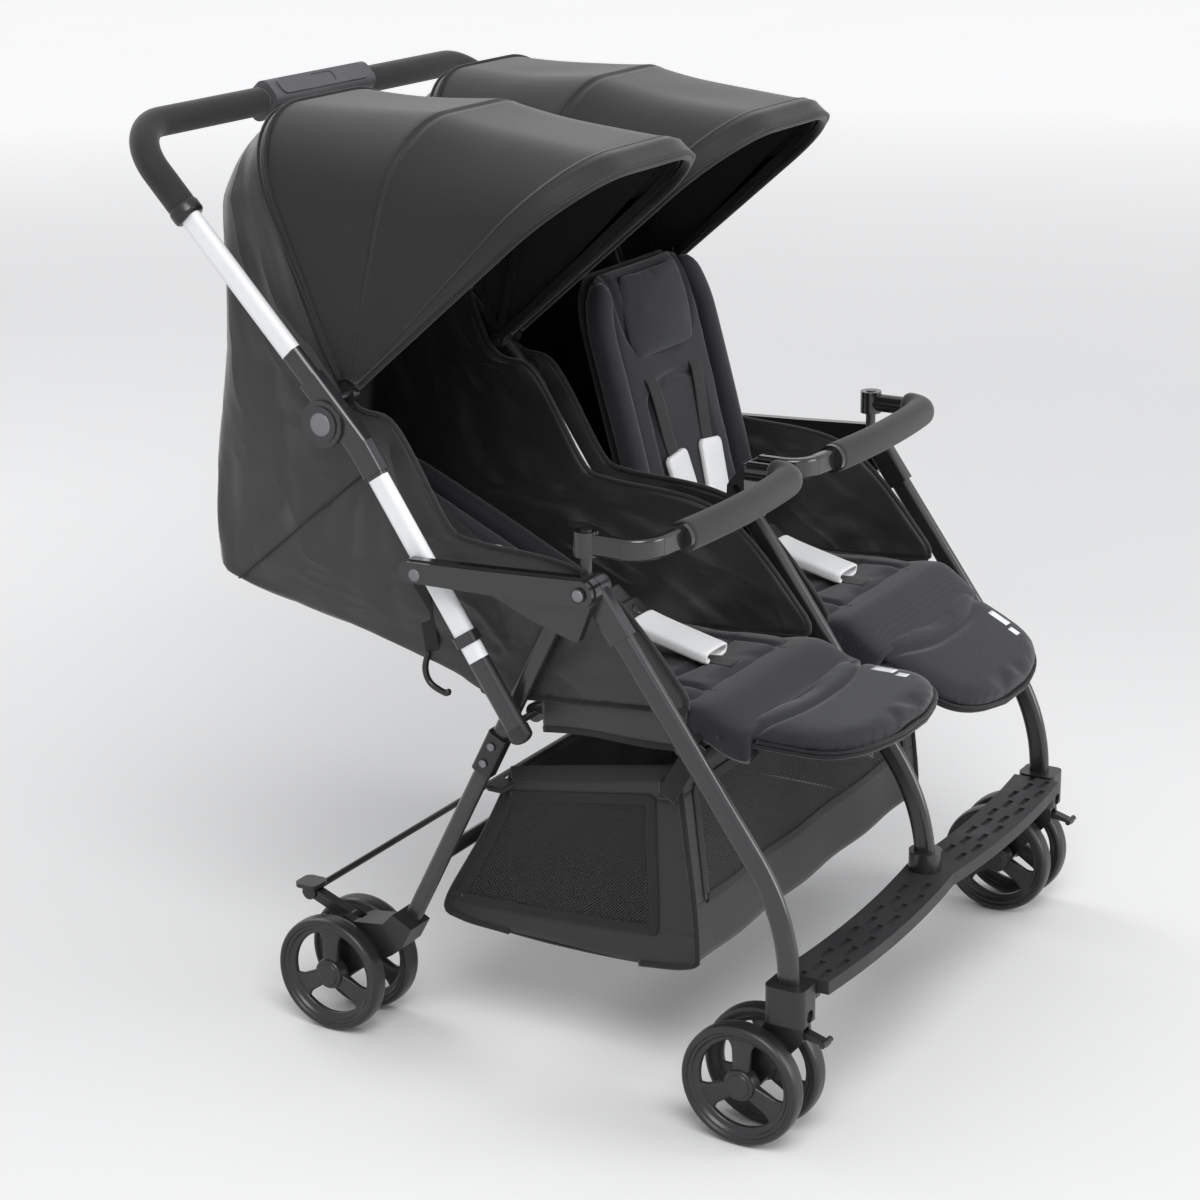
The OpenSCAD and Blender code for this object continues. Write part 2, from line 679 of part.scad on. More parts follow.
module seat_frames() {
  front = leg_hinge;
  rear_in = A - 26 * [cos(seat_slope), sin(seat_slope)];
  front_in = E + 40 * [cos(seat_slope), sin(seat_slope)];
  color("dimgray") both() difference() {
    union() {
      for (x = [seat_in, seat_out]) {
        translate([x, 0, 0]) side_bar(E, A) circle(r = seat_tube_r);
        cross_pin(E, x - 7, x + 7, 11);
        cross_pin(A, x - 7, x + 7, 11);
        cross_pin(front, x - 7, x + 7, 8.5);
        translate([x, 0, 0]) side_bar(E, front) square([14, 15], center = true);
      }
      cross_pin(front_in, seat_in, seat_out, seat_tube_r - 1);
      cross_pin(rear_in, seat_in, seat_out, seat_tube_r - 1);
    }
    for (x = [seat_in, seat_out]) {
      cross_pin(E, x - 9, x + 9, bore_r);
      cross_pin(A, x - 9, x + 9, bore_r);
      cross_pin(front, x - 9, x + 9, bore_r);
    }
  }
}

// pillow sheet: plan half width hw, length len, crown over a flat underside
function pillow_plan(v, nose) = nose > 0 ? sqrt(max(1 - pow(max(v - (1 - nose), 0) / nose, 2), 0.03)) : 1;
function crown(u, v, edge) = pow(max(1 - pow(abs(u), 4), 0), edge) * pow(max(1 - pow(abs(2 * v - 1), 6), 0), edge);

module pillow(hw, len, t, nose, n, channel) {
  us = [for (i = [0 : n]) -cos(180 * i / n)];
  vs = [for (i = [0 : n]) (1 - cos(180 * i / n)) / 2];
  top = [for (v = vs) [for (u = us) let (w = hw * pillow_plan(v, nose),
    dip = channel * exp(-pow((abs(u) - 0.62) / 0.07, 2)) * crown(u, v, 0.4))
    [u * w, v * len, t * (0.34 + 0.66 * crown(u, v, 0.42)) - dip]]];
  low = [for (v = vs) [for (u = us) [u * hw * pillow_plan(v, nose), v * len, 0]]];
  sheet(low, top);
}

module seat_pad() {
  len = A[0] - E[0] - 16;
  lift = seat_tube_r + 2.7;
  color([0.32, 0.33, 0.36]) translate([seat_cx, E[0] + 4, E[1] + lift]) rotate([seat_slope, 0, 0])
    pillow(pad_hw + 4, len, pad_t, 0, 16, 2.5);
}

module legrest() {
  color([0.32, 0.33, 0.36]) {
    translate([seat_cx, leg_hinge[0] - 10, leg_hinge[1] - leg_t / 2]) rotate([0, 0, 180])
      pillow(pad_hw + 4, leg_len - 10, leg_t, 0.55, 16, 2);
    cross_pin(leg_hinge, seat_in - 9, seat_out + 9, pin_r);
    for (x = [seat_in + 20, seat_cx, seat_out - 20])
      translate([x - 9, leg_hinge[0] - 24, leg_hinge[1] - 3]) cube([18, 25, 6]);
  }
}

module legrest_turned(drop) {
  translate([0, leg_hinge[0], leg_hinge[1]]) rotate([drop, 0, 0])
    translate([0, -leg_hinge[0], -leg_hinge[1]]) legrest();
}

// crotch strap, its soft pad and the buckle, standing on the seat pad
module crotch_strap() {
  y = E[0] + 96;
  z = E[1] + seat_tube_r + pad_t + 1.2;
  color("white") translate([seat_cx, 0, 0]) {
    translate([0, y - 30, z]) rotate([14, 0, 0])
      translate([0, 40, 3]) linear_extrude(9) rounded(44, 96, 16);
    translate([0, y - 44, z]) linear_extrude(3) rounded(28, 52, 4);
    translate([0, y + 66, z + 26]) rotate([40, 0, 0]) linear_extrude(13) rounded(46, 40, 12);
    translate([0, y + 88, z + 46]) rotate([40, 0, 0]) linear_extrude(11) rounded(30, 22, 5);
  }
}

module backrest_flat() {
  board = 5;
  translate([seat_cx, 0, 0]) {
    translate([0, 8, board - back_t / 2]) pillow(pad_hw, back_len - 8, back_t - board, 0.16, 18, 2.5);
    translate([0, back_len / 2 + 2, -back_t / 2]) linear_extrude(board - fit) rounded(2 * pad_hw - 12, back_len - 18, 30);
    // raised head pillow
    translate([0, back_len - 128, back_t / 2 - 3]) pillow(pad_hw * 0.66, 112, 15, 0.3, 12, 0);
  }
  cross_pin([0, 0], seat_cx - shell_hw + cloth_t + fit, seat_cx + shell_hw - cloth_t - fit, pin_r);
  for (x = [seat_in + 20, seat_cx, seat_out - 20])
    translate([x - 10, -1, -back_t / 2]) cube([20, 26, back_t / 2 + 3]);
}

module on_back(angle) {
  translate([0, back_hinge[0], back_hinge[1]]) rotate([angle, 0, 0]) children();
}

module backrest(angle) { color([0.32, 0.33, 0.36]) on_back(angle) backrest_flat(); }

// shoulder straps and white pads lying on the backrest
module harness(angle) {
  color("white") on_back(angle) translate([seat_cx, 0, back_t / 2 + fit]) for (s = [-1, 1]) {
    translate([s * 44, 168, 0]) rotate([0, 0, s * 7]) linear_extrude(2) square([24, 190], center = true);
    translate([s * 38, 106, 2 + fit]) rotate([0, 0, s * 7]) linear_extrude(10) rounded(42, 108, 12);
  }
}

// Rear frame

module rear_leg_solid(gap) {
  translate([rear_x, 0, 0]) {
    side_bar(B, G) oval(rear_t + 2 * gap, rear_w + 2 * gap);
    cross_pin(B, -rear_t / 2 - gap, rear_t / 2 + gap, 12);
  }
}

module rear_leg() {
  color("dimgray") difference() {
    rear_leg_solid(0);
    cross_pin(B, rear_x - rear_t, rear_x + rear_t, bore_r);
  }
}

module rear_cross_tube() {
  p = B + 0.742 * rear_leg_len * rear_dir;
  x = rear_x - rear_t / 2 - 0.05;
  color("dimgray") cross_pin(p, -x, x, 8.5);
}

module knee_brackets() {
  p = B + 178 * rear_dir;
  color("black") both() difference() {
    union() {
      translate([rear_x, 0, 0]) side_bar(p, p + 52 * rear_dir) rounded(rear_t + 7, rear_w + 5, 5);
      cross_pin(p + 14 * rear_dir, rear_x - rear_t / 2 - 5, rear_x + rear_t / 2 + 5.2, 5);
      cross_pin(p + 38 * rear_dir, rear_x - rear_t / 2 - 5, rear_x + rear_t / 2 + 5.2, 5);
    }
    rear_leg_solid(0.1);
  }
}

module rear_housings() {
  w = 2 * rear_wheel_off - tyre_w - 4;
  top = G - 24 * rear_dir;
  color([0.22, 0.22, 0.22]) both() {
    difference() {
      translate([rear_cx, 0, 0]) {
        cross_pin(rear_axle, -w / 2, w / 2, 16);
        side_plate(-w / 2, w / 2) polygon([rear_axle + [2, -15], rear_axle + [14, 4],
          brake_pivot + [9, 3], brake_pivot + [0, 9], brake_pivot + [-12, 4], G + [16, 16], top + [13, 9],
          top + [-13, -4], G + [-10, -8], G + [4, -20]]);
      }
      rear_leg_solid(0.1);
      // slot of the brake lever
      translate([rear_cx - 6.4, brake_pivot[0] - 16, brake_pivot[1] - 18]) cube([12.8, 60, 60]);
    }
    cross_pin(brake_pivot, rear_cx - w / 2 + 2, rear_cx + w / 2 - 2, pin_r - 1);
    cross_pin(rear_axle, rear_cx - rear_wheel_off - tyre_w / 2 + 4,
      rear_cx + rear_wheel_off + tyre_w / 2 - 4, pin_r);
  }
}

module brake_bar() {
  color([0.3, 0.3, 0.3]) {
    cross_pin(brake_rod, -rear_cx - 6, rear_cx + 6, 4);
    both() difference() {
      union() {
        translate([rear_cx, 0, 0]) {
          side_bar(brake_pivot, brake_rod) square([12, 13], center = true);
          cross_pin(brake_pivot, -6, 6, 7.5);
          cross_pin(brake_rod, -9, 9, 9);
          translate([0, brake_rod[0] + 2, brake_rod[1] + 6]) linear_extrude(5) rounded(30, 30, 8);
        }
      }
      cross_pin(brake_pivot, rear_cx - 10, rear_cx + 10, pin_r - 1 + pin_gap);
    }
  }
}

// Bumper bars, gates that swing forward on the outer leg tops. Both have a flat arm at their
// left end and a pad that bends back at their right end; x is measured from the arm.

bumper_gap = 14;
bumper_span = side_x - bumper_gap;
bumper_post = D[0] + 7;
bumper_latch = D[0] - 9.7;
bend_y = bumper_y + bumper_bend;
bar_sin = sin(bumper_turn);
bar_cos = cos(bumper_turn);
bumper_arc = (bumper_span - 2 * bumper_bend * (1 - bar_sin) - bumper_arm_run * bar_cos) / (2 * bar_sin);
arm_start = [bumper_bend * (1 - bar_sin), bend_y - bumper_bend * bar_cos];
pad_start = arm_start + bumper_arm_run * [bar_cos, -bar_sin];
pad_stop = pad_start + [2 * bumper_arc * bar_sin, 0];
end_y = pad_stop[1] + bumper_bend * bar_cos;

module bumper_pad() {
  color([0.3, 0.3, 0.32]) translate([0, 0, bumper_z]) {
    translate([pad_start[0] + bumper_arc * bar_sin, pad_start[1] + bumper_arc * bar_cos])
      rotate(-90 - bumper_turn) rotate_extrude(angle = 2 * bumper_turn, $fn = 360)
        translate([bumper_arc, 0]) circle(r = bumper_r);
    // the bent end is drawn a hair slimmer and enters the long part
    translate([pad_stop[0] - bumper_bend * bar_sin, end_y]) rotate(-94 + bumper_turn)
      rotate_extrude(angle = 94 - bumper_turn, $fn = 96)
        translate([bumper_bend, 0]) circle(r = bumper_r - bend_draw / 2);
  }
}

// flat arm: back to a given place, round the corner and along to the collar of the pad
module bumper_arm(back) {
  translate([0, 0, bumper_z]) {
    translate([0, bend_y - 1, 0]) rotate([-90, 0, 0]) linear_extrude(back - bend_y + 1) rounded(13, 24, 4);
    translate([bumper_bend, bend_y, 0]) rotate(180) rotate_extrude(angle = 90 - bumper_turn, $fn = 96)
      translate([bumper_bend, 0]) rounded(13 - bend_draw, 24 - bend_draw, 4);
    translate([arm_start[0], arm_start[1], 0]) rotate(-bumper_turn) {
      translate([-1, 0, 0]) rotate([90, 0, 90]) linear_extrude(bumper_arm_run - 4) rounded(13, 24, 4);
      translate([bumper_arm_run - 6.05, 0, 0]) rotate([0, 90, 0]) cylinder(r = bumper_r - 0.8, h = 6);
    }
  }
}

// plug in the bent end of the pad, back to a given place
module bumper_plug(back) {
  translate([bumper_span, end_y + 0.05, bumper_z]) rotate([-90, 0, 0]) cylinder(r = 11, h = back - end_y - 0.05);
}

module bumper_hub() {
  difference() {
    union() {
      translate([0, bumper_post, bumper_z - 13]) cylinder(r = 13, h = 27);
      children();
    }
    translate([0, bumper_post, bumper_z - 40]) cylinder(r = 6 + pin_gap, h = 56);
  }
}

module bumper_arms_near() {
  color("black") {
    bumper_hub() bumper_arm(bumper_post);
    bumper_plug(bumper_latch - fit);
  }
}

module bumper_arms_far() {
  color("black") {
    bumper_arm(bumper_latch - fit);
    translate([bumper_span, 0, 0]) bumper_hub() translate([-bumper_span, 0, 0]) bumper_plug(bumper_post);
  }
}

module near_bar() { translate([-side_x, 0, 0]) children(); }
module far_bar() { translate([bumper_gap, 0, 0]) children(); }

// Nodes

module at() { translate([0, origin_y, 0]) children(); }
module show(name) { at() children(); }

show("front_leg_left") left() front_leg();
show("front_leg_right") front_leg();
show("centre_front_leg") centre_front_leg();
show("footplate") footplate();
show("caster_housings") caster_housings();
show("hinge_plates") hinge_plates();
show("basket") basket();
show("caster_fork_left") left() caster_fork();
show("caster_fork_right") caster_fork();
show("swivel_lock_left") left() swivel_lock();
show("swivel_lock_right") swivel_lock();
show("front_wheel_left_outer") left() front_wheel(1);
show("front_wheel_left_inner") left() front_wheel(-1);
show("front_wheel_right_inner") front_wheel(-1);
show("front_wheel_right_outer") front_wheel(1);
show("armrest_left") left() armrest();
show("armrest_right") armrest();
show("push_tube_left") left() push_tube();
show("push_tube_right") push_tube();
show("centre_push_tube") centre_push_tube();
show("handle_grip") handle_grip();
show("handle_console") handle_console();
show("fold_trigger") fold_trigger();
show("seat_shell_left") left() seat_shell();
show("seat_shell_right") seat_shell();
show("recline_straps") recline_straps();
show("canopy_rear_bows") both() rear_bow();
show("canopy_mid_bow_left") left() mid_bow();
show("canopy_mid_bow_right") mid_bow();
show("canopy_front_bow_left") left() front_bow();
show("canopy_front_bow_right") front_bow();
show("canopy_cloth_left") left() canopy_cloth();
show("canopy_cloth_right") canopy_cloth();
show("seat_frames") seat_frames();
show("seat_pad_left") left() seat_pad();
show("seat_pad_right") seat_pad();
show("crotch_strap_left") left() crotch_strap();
show("crotch_strap_right") crotch_strap();
show("legrest_left") left() legrest();
show("legrest_right") legrest_turned(leg_drop_right);
show("backrest_left") left() backrest(back_angle_left);
show("backrest_right") backrest(back_angle_right);
show("harness_left") left() harness(back_angle_left);
show("harness_right") harness(back_angle_right);
show("rear_leg_left") left() rear_leg();
show("rear_leg_right") rear_leg();
show("rear_cross_tube") rear_cross_tube();
show("rear_housings") rear_housings();
show("knee_brackets") knee_brackets();
show("brake_bar") brake_bar();
show("rear_wheel_left_outer") left() rear_wheel(1);
show("rear_wheel_left_inner") left() rear_wheel(-1);
show("rear_wheel_right_inner") rear_wheel(-1);
show("rear_wheel_right_outer") rear_wheel(1);
show("bumper_arms_left") near_bar() bumper_arms_near();
show("bumper_arms_right") far_bar() bumper_arms_far();
show("bumper_pad_left") near_bar() bumper_pad();
show("bumper_pad_right") far_bar() bumper_pad();
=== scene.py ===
"""Double stroller: sewn pieces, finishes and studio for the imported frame.

Side points are pairs (y, z) in millimetres, in the frame of the part's source; placed() moves them
to the shared frame in metres. The right-hand side is drawn and the left one is its mirror image.
"""

import bpy
import numpy as np
from bpy.props import FloatProperty, FloatVectorProperty, PointerProperty
from mathutils import Matrix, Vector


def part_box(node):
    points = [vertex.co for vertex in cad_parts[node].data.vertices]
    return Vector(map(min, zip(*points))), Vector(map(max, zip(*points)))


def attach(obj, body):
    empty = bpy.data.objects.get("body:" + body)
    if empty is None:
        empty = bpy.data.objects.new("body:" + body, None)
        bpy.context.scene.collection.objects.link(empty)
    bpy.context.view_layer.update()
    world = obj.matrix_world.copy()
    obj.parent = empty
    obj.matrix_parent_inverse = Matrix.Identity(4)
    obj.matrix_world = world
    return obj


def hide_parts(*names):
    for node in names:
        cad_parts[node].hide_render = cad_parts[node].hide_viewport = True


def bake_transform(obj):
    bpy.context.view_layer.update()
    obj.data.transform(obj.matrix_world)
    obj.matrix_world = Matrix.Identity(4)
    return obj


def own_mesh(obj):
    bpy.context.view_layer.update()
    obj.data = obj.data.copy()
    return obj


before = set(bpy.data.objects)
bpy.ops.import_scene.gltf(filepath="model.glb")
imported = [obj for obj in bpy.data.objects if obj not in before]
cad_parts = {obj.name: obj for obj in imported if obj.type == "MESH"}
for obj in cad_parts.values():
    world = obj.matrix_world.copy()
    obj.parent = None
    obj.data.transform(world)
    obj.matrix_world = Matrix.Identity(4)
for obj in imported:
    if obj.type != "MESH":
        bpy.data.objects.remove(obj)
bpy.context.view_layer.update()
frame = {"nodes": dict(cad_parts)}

bl_info = {
    "name": "Double stroller dresser",
    "version": (1, 0, 0),
    "blender": (4, 5, 0),
    "location": "3D View > Sidebar > Stroller",
    "description": "Sewn pieces, finishes and studio for a side-by-side stroller frame",
    "category": "Object",
}

PI = np.pi
MM = 1e-3
SIDES = (("left", -1), ("right", 1))
X_AXIS, Y_AXIS, Z_AXIS = (1, 0, 0), (0, 1, 0), (0, 0, 1)

# Side points and sizes of the source, millimetres and degrees
ORIGIN_Y = 12.49
LEG_TOP = np.array([-172.0, 580.0])
ARM_REAR = np.array([33.0, 572.0])
SEAT_FRONT = np.array([-276.69, 420.01])
SEAT_REAR = np.array([-71.69, 412.01])
TUBE_BEND = np.array([115.46, 698.02])
HANDLE = np.array([414.57, 1019.9])
CANOPY_PIVOT = np.array([147.66, 746.4])
BACK_HINGE = np.array([-30.0, 437.0])
LEG_HINGE = np.array([-300.69, 425.01])
REAR_PIVOT = np.array([-120.0, 545.0])
REAR_RUN = np.array([np.sin(np.radians(27.2)), -np.cos(np.radians(27.2))])
FRONT_AXLE = np.array([-361.82, 68.7])
REAR_AXLE = np.array([177.3, 68.7])
WHEEL_RADIUS, TYRE_SHARE = 68.7, 0.868
SEAT_X, TUBE_X = 166.0, 345.0
LEAN_LOW, LEAN_HIGH = 33.2, 42.9
BACK_ANGLE = {"left": 25.0, "right": 75.0}
LEG_DROP = {"left": 0.0, "right": 27.0}
# Bows of a canopy: angle about its pivot and reach
BOW_REAR, BOW_MID, BOW_FRONT = (66.0, 318.0), (104.0, 300.0), (138.0, 382.0)
CLOTH_HALF, CLOTH_CORNER, CLOTH_NEAR, CLOTH_OVER = 155.8, 106.0, 17.0, 1.6
SHELL_HALF = 143.5
SHELL_BACK = [(6, 424), (60, 446), (166, 470), (334, 506), (356, 545), (350, 640), (329, 800),
              (325, 945), (305, 1012), (287, 1035)]
SHELL_FRONT = [(-262, 446), (-257, 472), (-150, 578), (-2, 598), (30, 612), (96, 716), (166, 757),
               (277, 1034)]
BASKET_HALF = 286.0
BASKET = [(-30, 326), (8, 250), (62, 156), (46, 139), (-60, 131), (-190, 133), (-250, 143),
          (-262, 165), (-248, 300), (-240, 366)]


# Numbers and curves

def radians(degrees):
    """Degrees to radians."""
    return np.asarray(degrees) * PI / 180


def ray(degrees):
    """Direction in side view at an angle above level."""
    return np.array([np.cos(radians(degrees)), np.sin(radians(degrees))])


def placed(points):
    """Millimetres of the source's side frame to metres of the shared frame."""
    p = np.array(points, float)
    p[..., 1] += ORIGIN_Y
    return p * MM


def spot(x, side_point):
    """One place in the shared frame, metres, from an x and a side point."""
    return tuple(placed([x, side_point[0], side_point[1]]))


def at_x(x, line):
    """Points in space from a line in side view and one x."""
    return np.column_stack([np.full(len(line), x), line])


def at_height(line, z):
    """Points in space from a line in plan and one height."""
    return np.column_stack([line, np.full(len(line), z)])


def smooth_path(points, count):
    """Catmull-Rom curve through points, resampled to count places at even spacing."""
    p = np.asarray(points, float)
    p = np.concatenate([2 * p[:1] - p[1:2], p, 2 * p[-1:] - p[-2:-1]])
    t = np.linspace(0, len(p) - 3, 24 * len(p))
    i = np.minimum(t.astype(int), len(p) - 4)
    f = (t - i)[:, None]
    a, b, c, d = p[i], p[i + 1], p[i + 2], p[i + 3]
    q = 0.5 * (2 * b + (c - a) * f + (2 * a - 5 * b + 4 * c - d) * f ** 2 + (3 * b - a - 3 * c + d) * f ** 3)
    return even_path(q, count)


def even_path(points, count):
    """Points at even spacing along a broken line."""
    p = np.asarray(points, float)
    s = np.concatenate([[0], np.cumsum(np.linalg.norm(np.diff(p, axis=0), axis=1))])
    at = np.linspace(0, s[-1], count)
    return np.stack([np.interp(at, s, p[:, k]) for k in range(p.shape[1])], 1)


def ridge(distance, width):
    """Bell of height 1 at distance 0."""
    return np.exp(-(distance / width) ** 2)


def ramp(value, low, high):
    """0 below low, 1 above high, straight between them."""
    return np.clip((value - low) / (high - low), 0, 1)


def distance_to(points, line):
    """Distance of each point to a broken line, both in the plane."""
    a, b = line[None, :-1], line[None, 1:]
    p = points[:, None]
    d = b - a
    t = np.clip(((p - a) * d).sum(-1) / np.maximum((d * d).sum(-1), 1e-9), 0, 1)
    return np.linalg.norm(p - a - t[..., None] * d, axis=-1).min(1)


def rounded_arch(half_width, reach, corner, near, share):
    """Arch of two straight legs from near, quarter circles of radius corner and a straight top,
    at a share 0 to 1 of its length; gives the place across and the reach."""
    leg, arc = reach - corner - near, corner * PI / 2
    g = np.where(share > 0.5, 1 - share, share) * (2 * leg + 2 * arc + 2 * (half_width - corner))
    t = np.clip((g - leg) / corner, 0, PI / 2)
    over = np.maximum(g - leg - arc, 0)
    x = half_width - corner + corner * np.cos(t) - over
    r = np.where(g < leg, near + g, reach - corner + corner * np.sin(t))
    return np.where(share > 0.5, -x, x), r


def loop(half_width, half_height, power, count):
    """Closed superellipse, points (across, up)."""
    a = np.linspace(0, 2 * PI, count, endpoint=False)
    c, s = np.cos(a), np.sin(a)
    return np.stack([half_width * np.sign(c) * np.abs(c) ** power,
                     half_height * np.sign(s) * np.abs(s) ** power], 1)


def unit(vectors):
    """Vectors divided by their lengths."""
    return vectors / np.maximum(np.linalg.norm(vectors, axis=-1, keepdims=True), 1e-12)


def square_to(across, t):
    """The part of a direction that is square to unit tangents, and the third direction."""
    a = np.broadcast_to(np.asarray(across, float), t.shape)
    a = unit(a - (a * t).sum(1, keepdims=True) * t)
    return a, np.cross(t, a)


def swept(path, profile, across, grow=None):
    """Grid of a profile carried along a path: its first axis follows across, made square to the
    path, and its second the remaining direction; grow scales it at each station."""
    path, profile = np.asarray(path, float), np.asarray(profile, float)
    a, b = square_to(across, unit(np.gradient(path, axis=0)))
    g = np.ones((len(path), 1)) if grow is None else np.asarray(grow, float).reshape(len(path), 1)
    return (path[:, None] + (g * profile[None, :, 0])[..., None] * a[:, None]
            + (g * profile[None, :, 1])[..., None] * b[:, None])


def flap_profile(half, drop, thick, count=48):
    """Closed profile of a padded flap with turned-down sides: an arch with square shoulders, half
    wide and drop deep, and the same arch again inside it, thick apart."""
    shoulder, gap = 0.2, 2
    t = np.linspace(0, PI, count)
    x, z = np.sign(np.cos(t)) * np.abs(np.cos(t)) ** shoulder, np.sin(t) ** shoulder
    outer = np.stack([half * x, drop * (z - 1) + thick], 1)
    inner = np.stack([(half - thick) * x, (drop - gap) * (z - 1) - gap], 1)
    return np.concatenate([outer, inner[::-1]])


def clear_of(path):
    """A direction for each station that never runs along the path: across, or up where it runs across."""
    w = unit(np.gradient(np.asarray(path, float), axis=0))[:, :1] ** 2
    return (1 - w) * np.array(X_AXIS) + w * np.array(Z_AXIS)


def rounded_ends(count, share):
    """Scale along a path that closes like a quarter circle over a share of it at both ends."""
    v = np.linspace(0, 1, count)
    d = np.clip(np.minimum(v, 1 - v) / share, 0, 1)
    return np.maximum(np.sqrt(1 - (1 - d) ** 2), 0.04)


def turned(profile, centre, axis, around=32):
    """Grid of a profile (radius, height) spun about an axis through a centre."""
    n = unit(np.asarray(axis, float))
    a = unit(np.cross(n, [0.31, 0.57, 0.76]))
    w = np.linspace(0, 2 * PI, around, endpoint=False)
    ring = np.cos(w)[:, None] * a + np.sin(w)[:, None] * np.cross(n, a)
    p = np.asarray(profile, float)
    return np.asarray(centre, float) + p[:, 0, None, None] * ring + p[:, 1, None, None] * n


# Meshes

def patch(grid, wrap_rows=False, wrap_columns=False, caps=False):
    """Quads over a grid of points (rows, columns, 3), with lengths along it as UV in metres.
    A wrapped direction is joined to its start; caps close the two end rows with fans."""
    g = np.asarray(grid, float)
    n, m = g.shape[:2]
    rows = np.arange(n if wrap_rows else n - 1)[:, None]
    cols = np.arange(m if wrap_columns else m - 1)[None, :]
    corners = ((0, 0), (0, 1), (1, 1), (1, 0))
    quads = np.stack([(rows + h) % n * m + (cols + k) % m for h, k in corners], -1).reshape(-1, 4)
    u, v = (np.concatenate([[0], np.cumsum(np.linalg.norm(np.roll(g, -1, axis) - g, axis=2).mean(1 - axis))]) * MM
            for axis in (1, 0))
    one = np.zeros_like(rows + cols)
    uv = np.stack([np.stack([u[cols + k + one], v[rows + h + one]], -1) for h, k in corners], 2).reshape(-1, 4, 2)
    verts, tris = g.reshape(-1, 3), np.zeros((0, 3), int)
    if caps:
        c = np.arange(m)
        last = (n - 1) * m
        verts = np.concatenate([verts, g[0].mean(0)[None], g[-1].mean(0)[None]])
        tris = np.concatenate([np.stack([c, np.full(m, n * m), (c + 1) % m], 1),
                               np.stack([last + c, last + (c + 1) % m, np.full(m, n * m + 1)], 1)])
    return verts, quads, tris, uv


def closed(grid):
    """Patch of a grid whose rows are loops, closed at both ends."""
    return patch(grid, wrap_columns=True, caps=True)


def tube(path, radius, across=X_AXIS, sides=12, flat=1.0, grow=None):
    """Closed patch of a round or flattened cord along a path."""
    return closed(swept(path, loop(radius, radius * flat, 1, sides), across, grow))


def band(path, width, thick, across):
    """Closed patch of flat webbing along a path, width lying along across."""
    return closed(swept(path, loop(width / 2, thick / 2, 0.35, 20), across))


def spun(profile, centre, axis, around=32):
    """Closed patch of a profile spun about an axis."""
    return closed(turned(profile, centre, axis, around))


def stitches(path, across, length=3.2, gap=1.8, radius=0.45):
    """Row of short threads along a path: six-sided capsules of four rings, each a few faces."""
    sides, share = 6, np.array([0.0, 0.12, 0.88, 1.0])
    size = np.array([0.35, 1.0, 1.0, 0.35]) * radius
    p = np.asarray(path, float)
    total = np.linalg.norm(np.diff(p, axis=0), axis=1).sum()
    count = max(int(total / (length + gap)), 2)
    line = even_path(p, count * 4 + 1)
    stop = line[3::4][:count]
    start = line[:-1:4][:len(stop)]
    a, b = square_to(across, unit(stop - start))
    w = np.linspace(0, 2 * PI, sides, endpoint=False)
    mid = start[:, None] + share[None, :, None] * (stop - start)[:, None]
    ring = np.cos(w)[:, None] * a[:, None] + np.sin(w)[:, None] * b[:, None]
    pts = mid[:, :, None] + size[None, :, None, None] * ring[:, None]
    row, j = np.meshgrid(np.arange(len(share) - 1) * sides, np.arange(sides), indexing="ij")
    beside = (j + 1) % sides
    walls = np.stack([row + j, row + beside, row + sides + beside, row + sides + j], -1).reshape(-1, 4)
    ends = [[5, 4, 3, 2], [5, 2, 1, 0], [18, 19, 20, 21], [18, 21, 22, 23]]
    first = (np.arange(len(pts)) * sides * len(share))[:, None, None]
    faces = (first + np.concatenate([walls, ends])).reshape(-1, 4)
    return pts.reshape(-1, 3), faces, np.zeros((0, 3), int), np.zeros((len(faces), 4, 2))


def moved(item, where):
    """Patch with its points sent through a placing function."""
    return where(item[0]), *item[1:]


def make_piece(name, patches, material, side=1, centre=None):
    """One mesh object from patches in millimetres. Faces are turned outwards: by the enclosed
    volume of each closed patch, or away from centre for an open sheet."""
    mirror = np.array([side, 1, 1])
    verts, quads, tris, uvs, base = [], [], [], [], 0
    for v, q, t, uv in patches:
        v = v * mirror
        a, b, c = v[np.concatenate([q[:, [0, 1, 2]], q[:, [0, 2, 3]], t])].transpose(1, 0, 2)
        middle = v.mean(0) if centre is None else np.asarray(centre, float) * mirror
        if ((a + b + c - 3 * middle) * np.cross(b - a, c - a)).sum() < 0:
            q, t, uv = q[:, ::-1], t[:, ::-1], uv[:, ::-1]
        verts.append(v), quads.append(q + base), tris.append(t + base), uvs.append(uv)
        base += len(v)
    t = np.concatenate(tris)
    mesh = bpy.data.meshes.new(name)
    mesh.from_pydata(placed(np.concatenate(verts)).tolist(), [], np.concatenate(quads).tolist() + t.tolist())
    flat = np.concatenate([np.concatenate(uvs).reshape(-1, 2), np.zeros((3 * len(t), 2))])
    mesh.uv_layers.new(name="Cut").data.foreach_set("uv", flat.astype(np.float32).ravel())
    return show(name, mesh, material)


def show(name, mesh, material):
    """Object at the origin for a finished mesh, shaded smooth."""
    mesh.polygons.foreach_set("use_smooth", np.ones(len(mesh.polygons), bool))
    mesh.materials.append(material)
    mesh.update()
    obj = bpy.data.objects.new(name, mesh)
    bpy.context.scene.collection.objects.link(obj)
    return obj


def thicken(obj, thick):
    """Solidify to a cloth of that thickness in millimetres, inwards."""
    m = obj.modifiers.new("Cloth thickness", "SOLIDIFY")
    m.thickness, m.offset, m.use_even_offset = thick * MM, -1.0, False


def cut_area(obj):
    """Area of a piece's own faces, square metres."""
    area = np.zeros(len(obj.data.polygons), np.float32)
    obj.data.polygons.foreach_get("area", area)
    return float(area.sum())


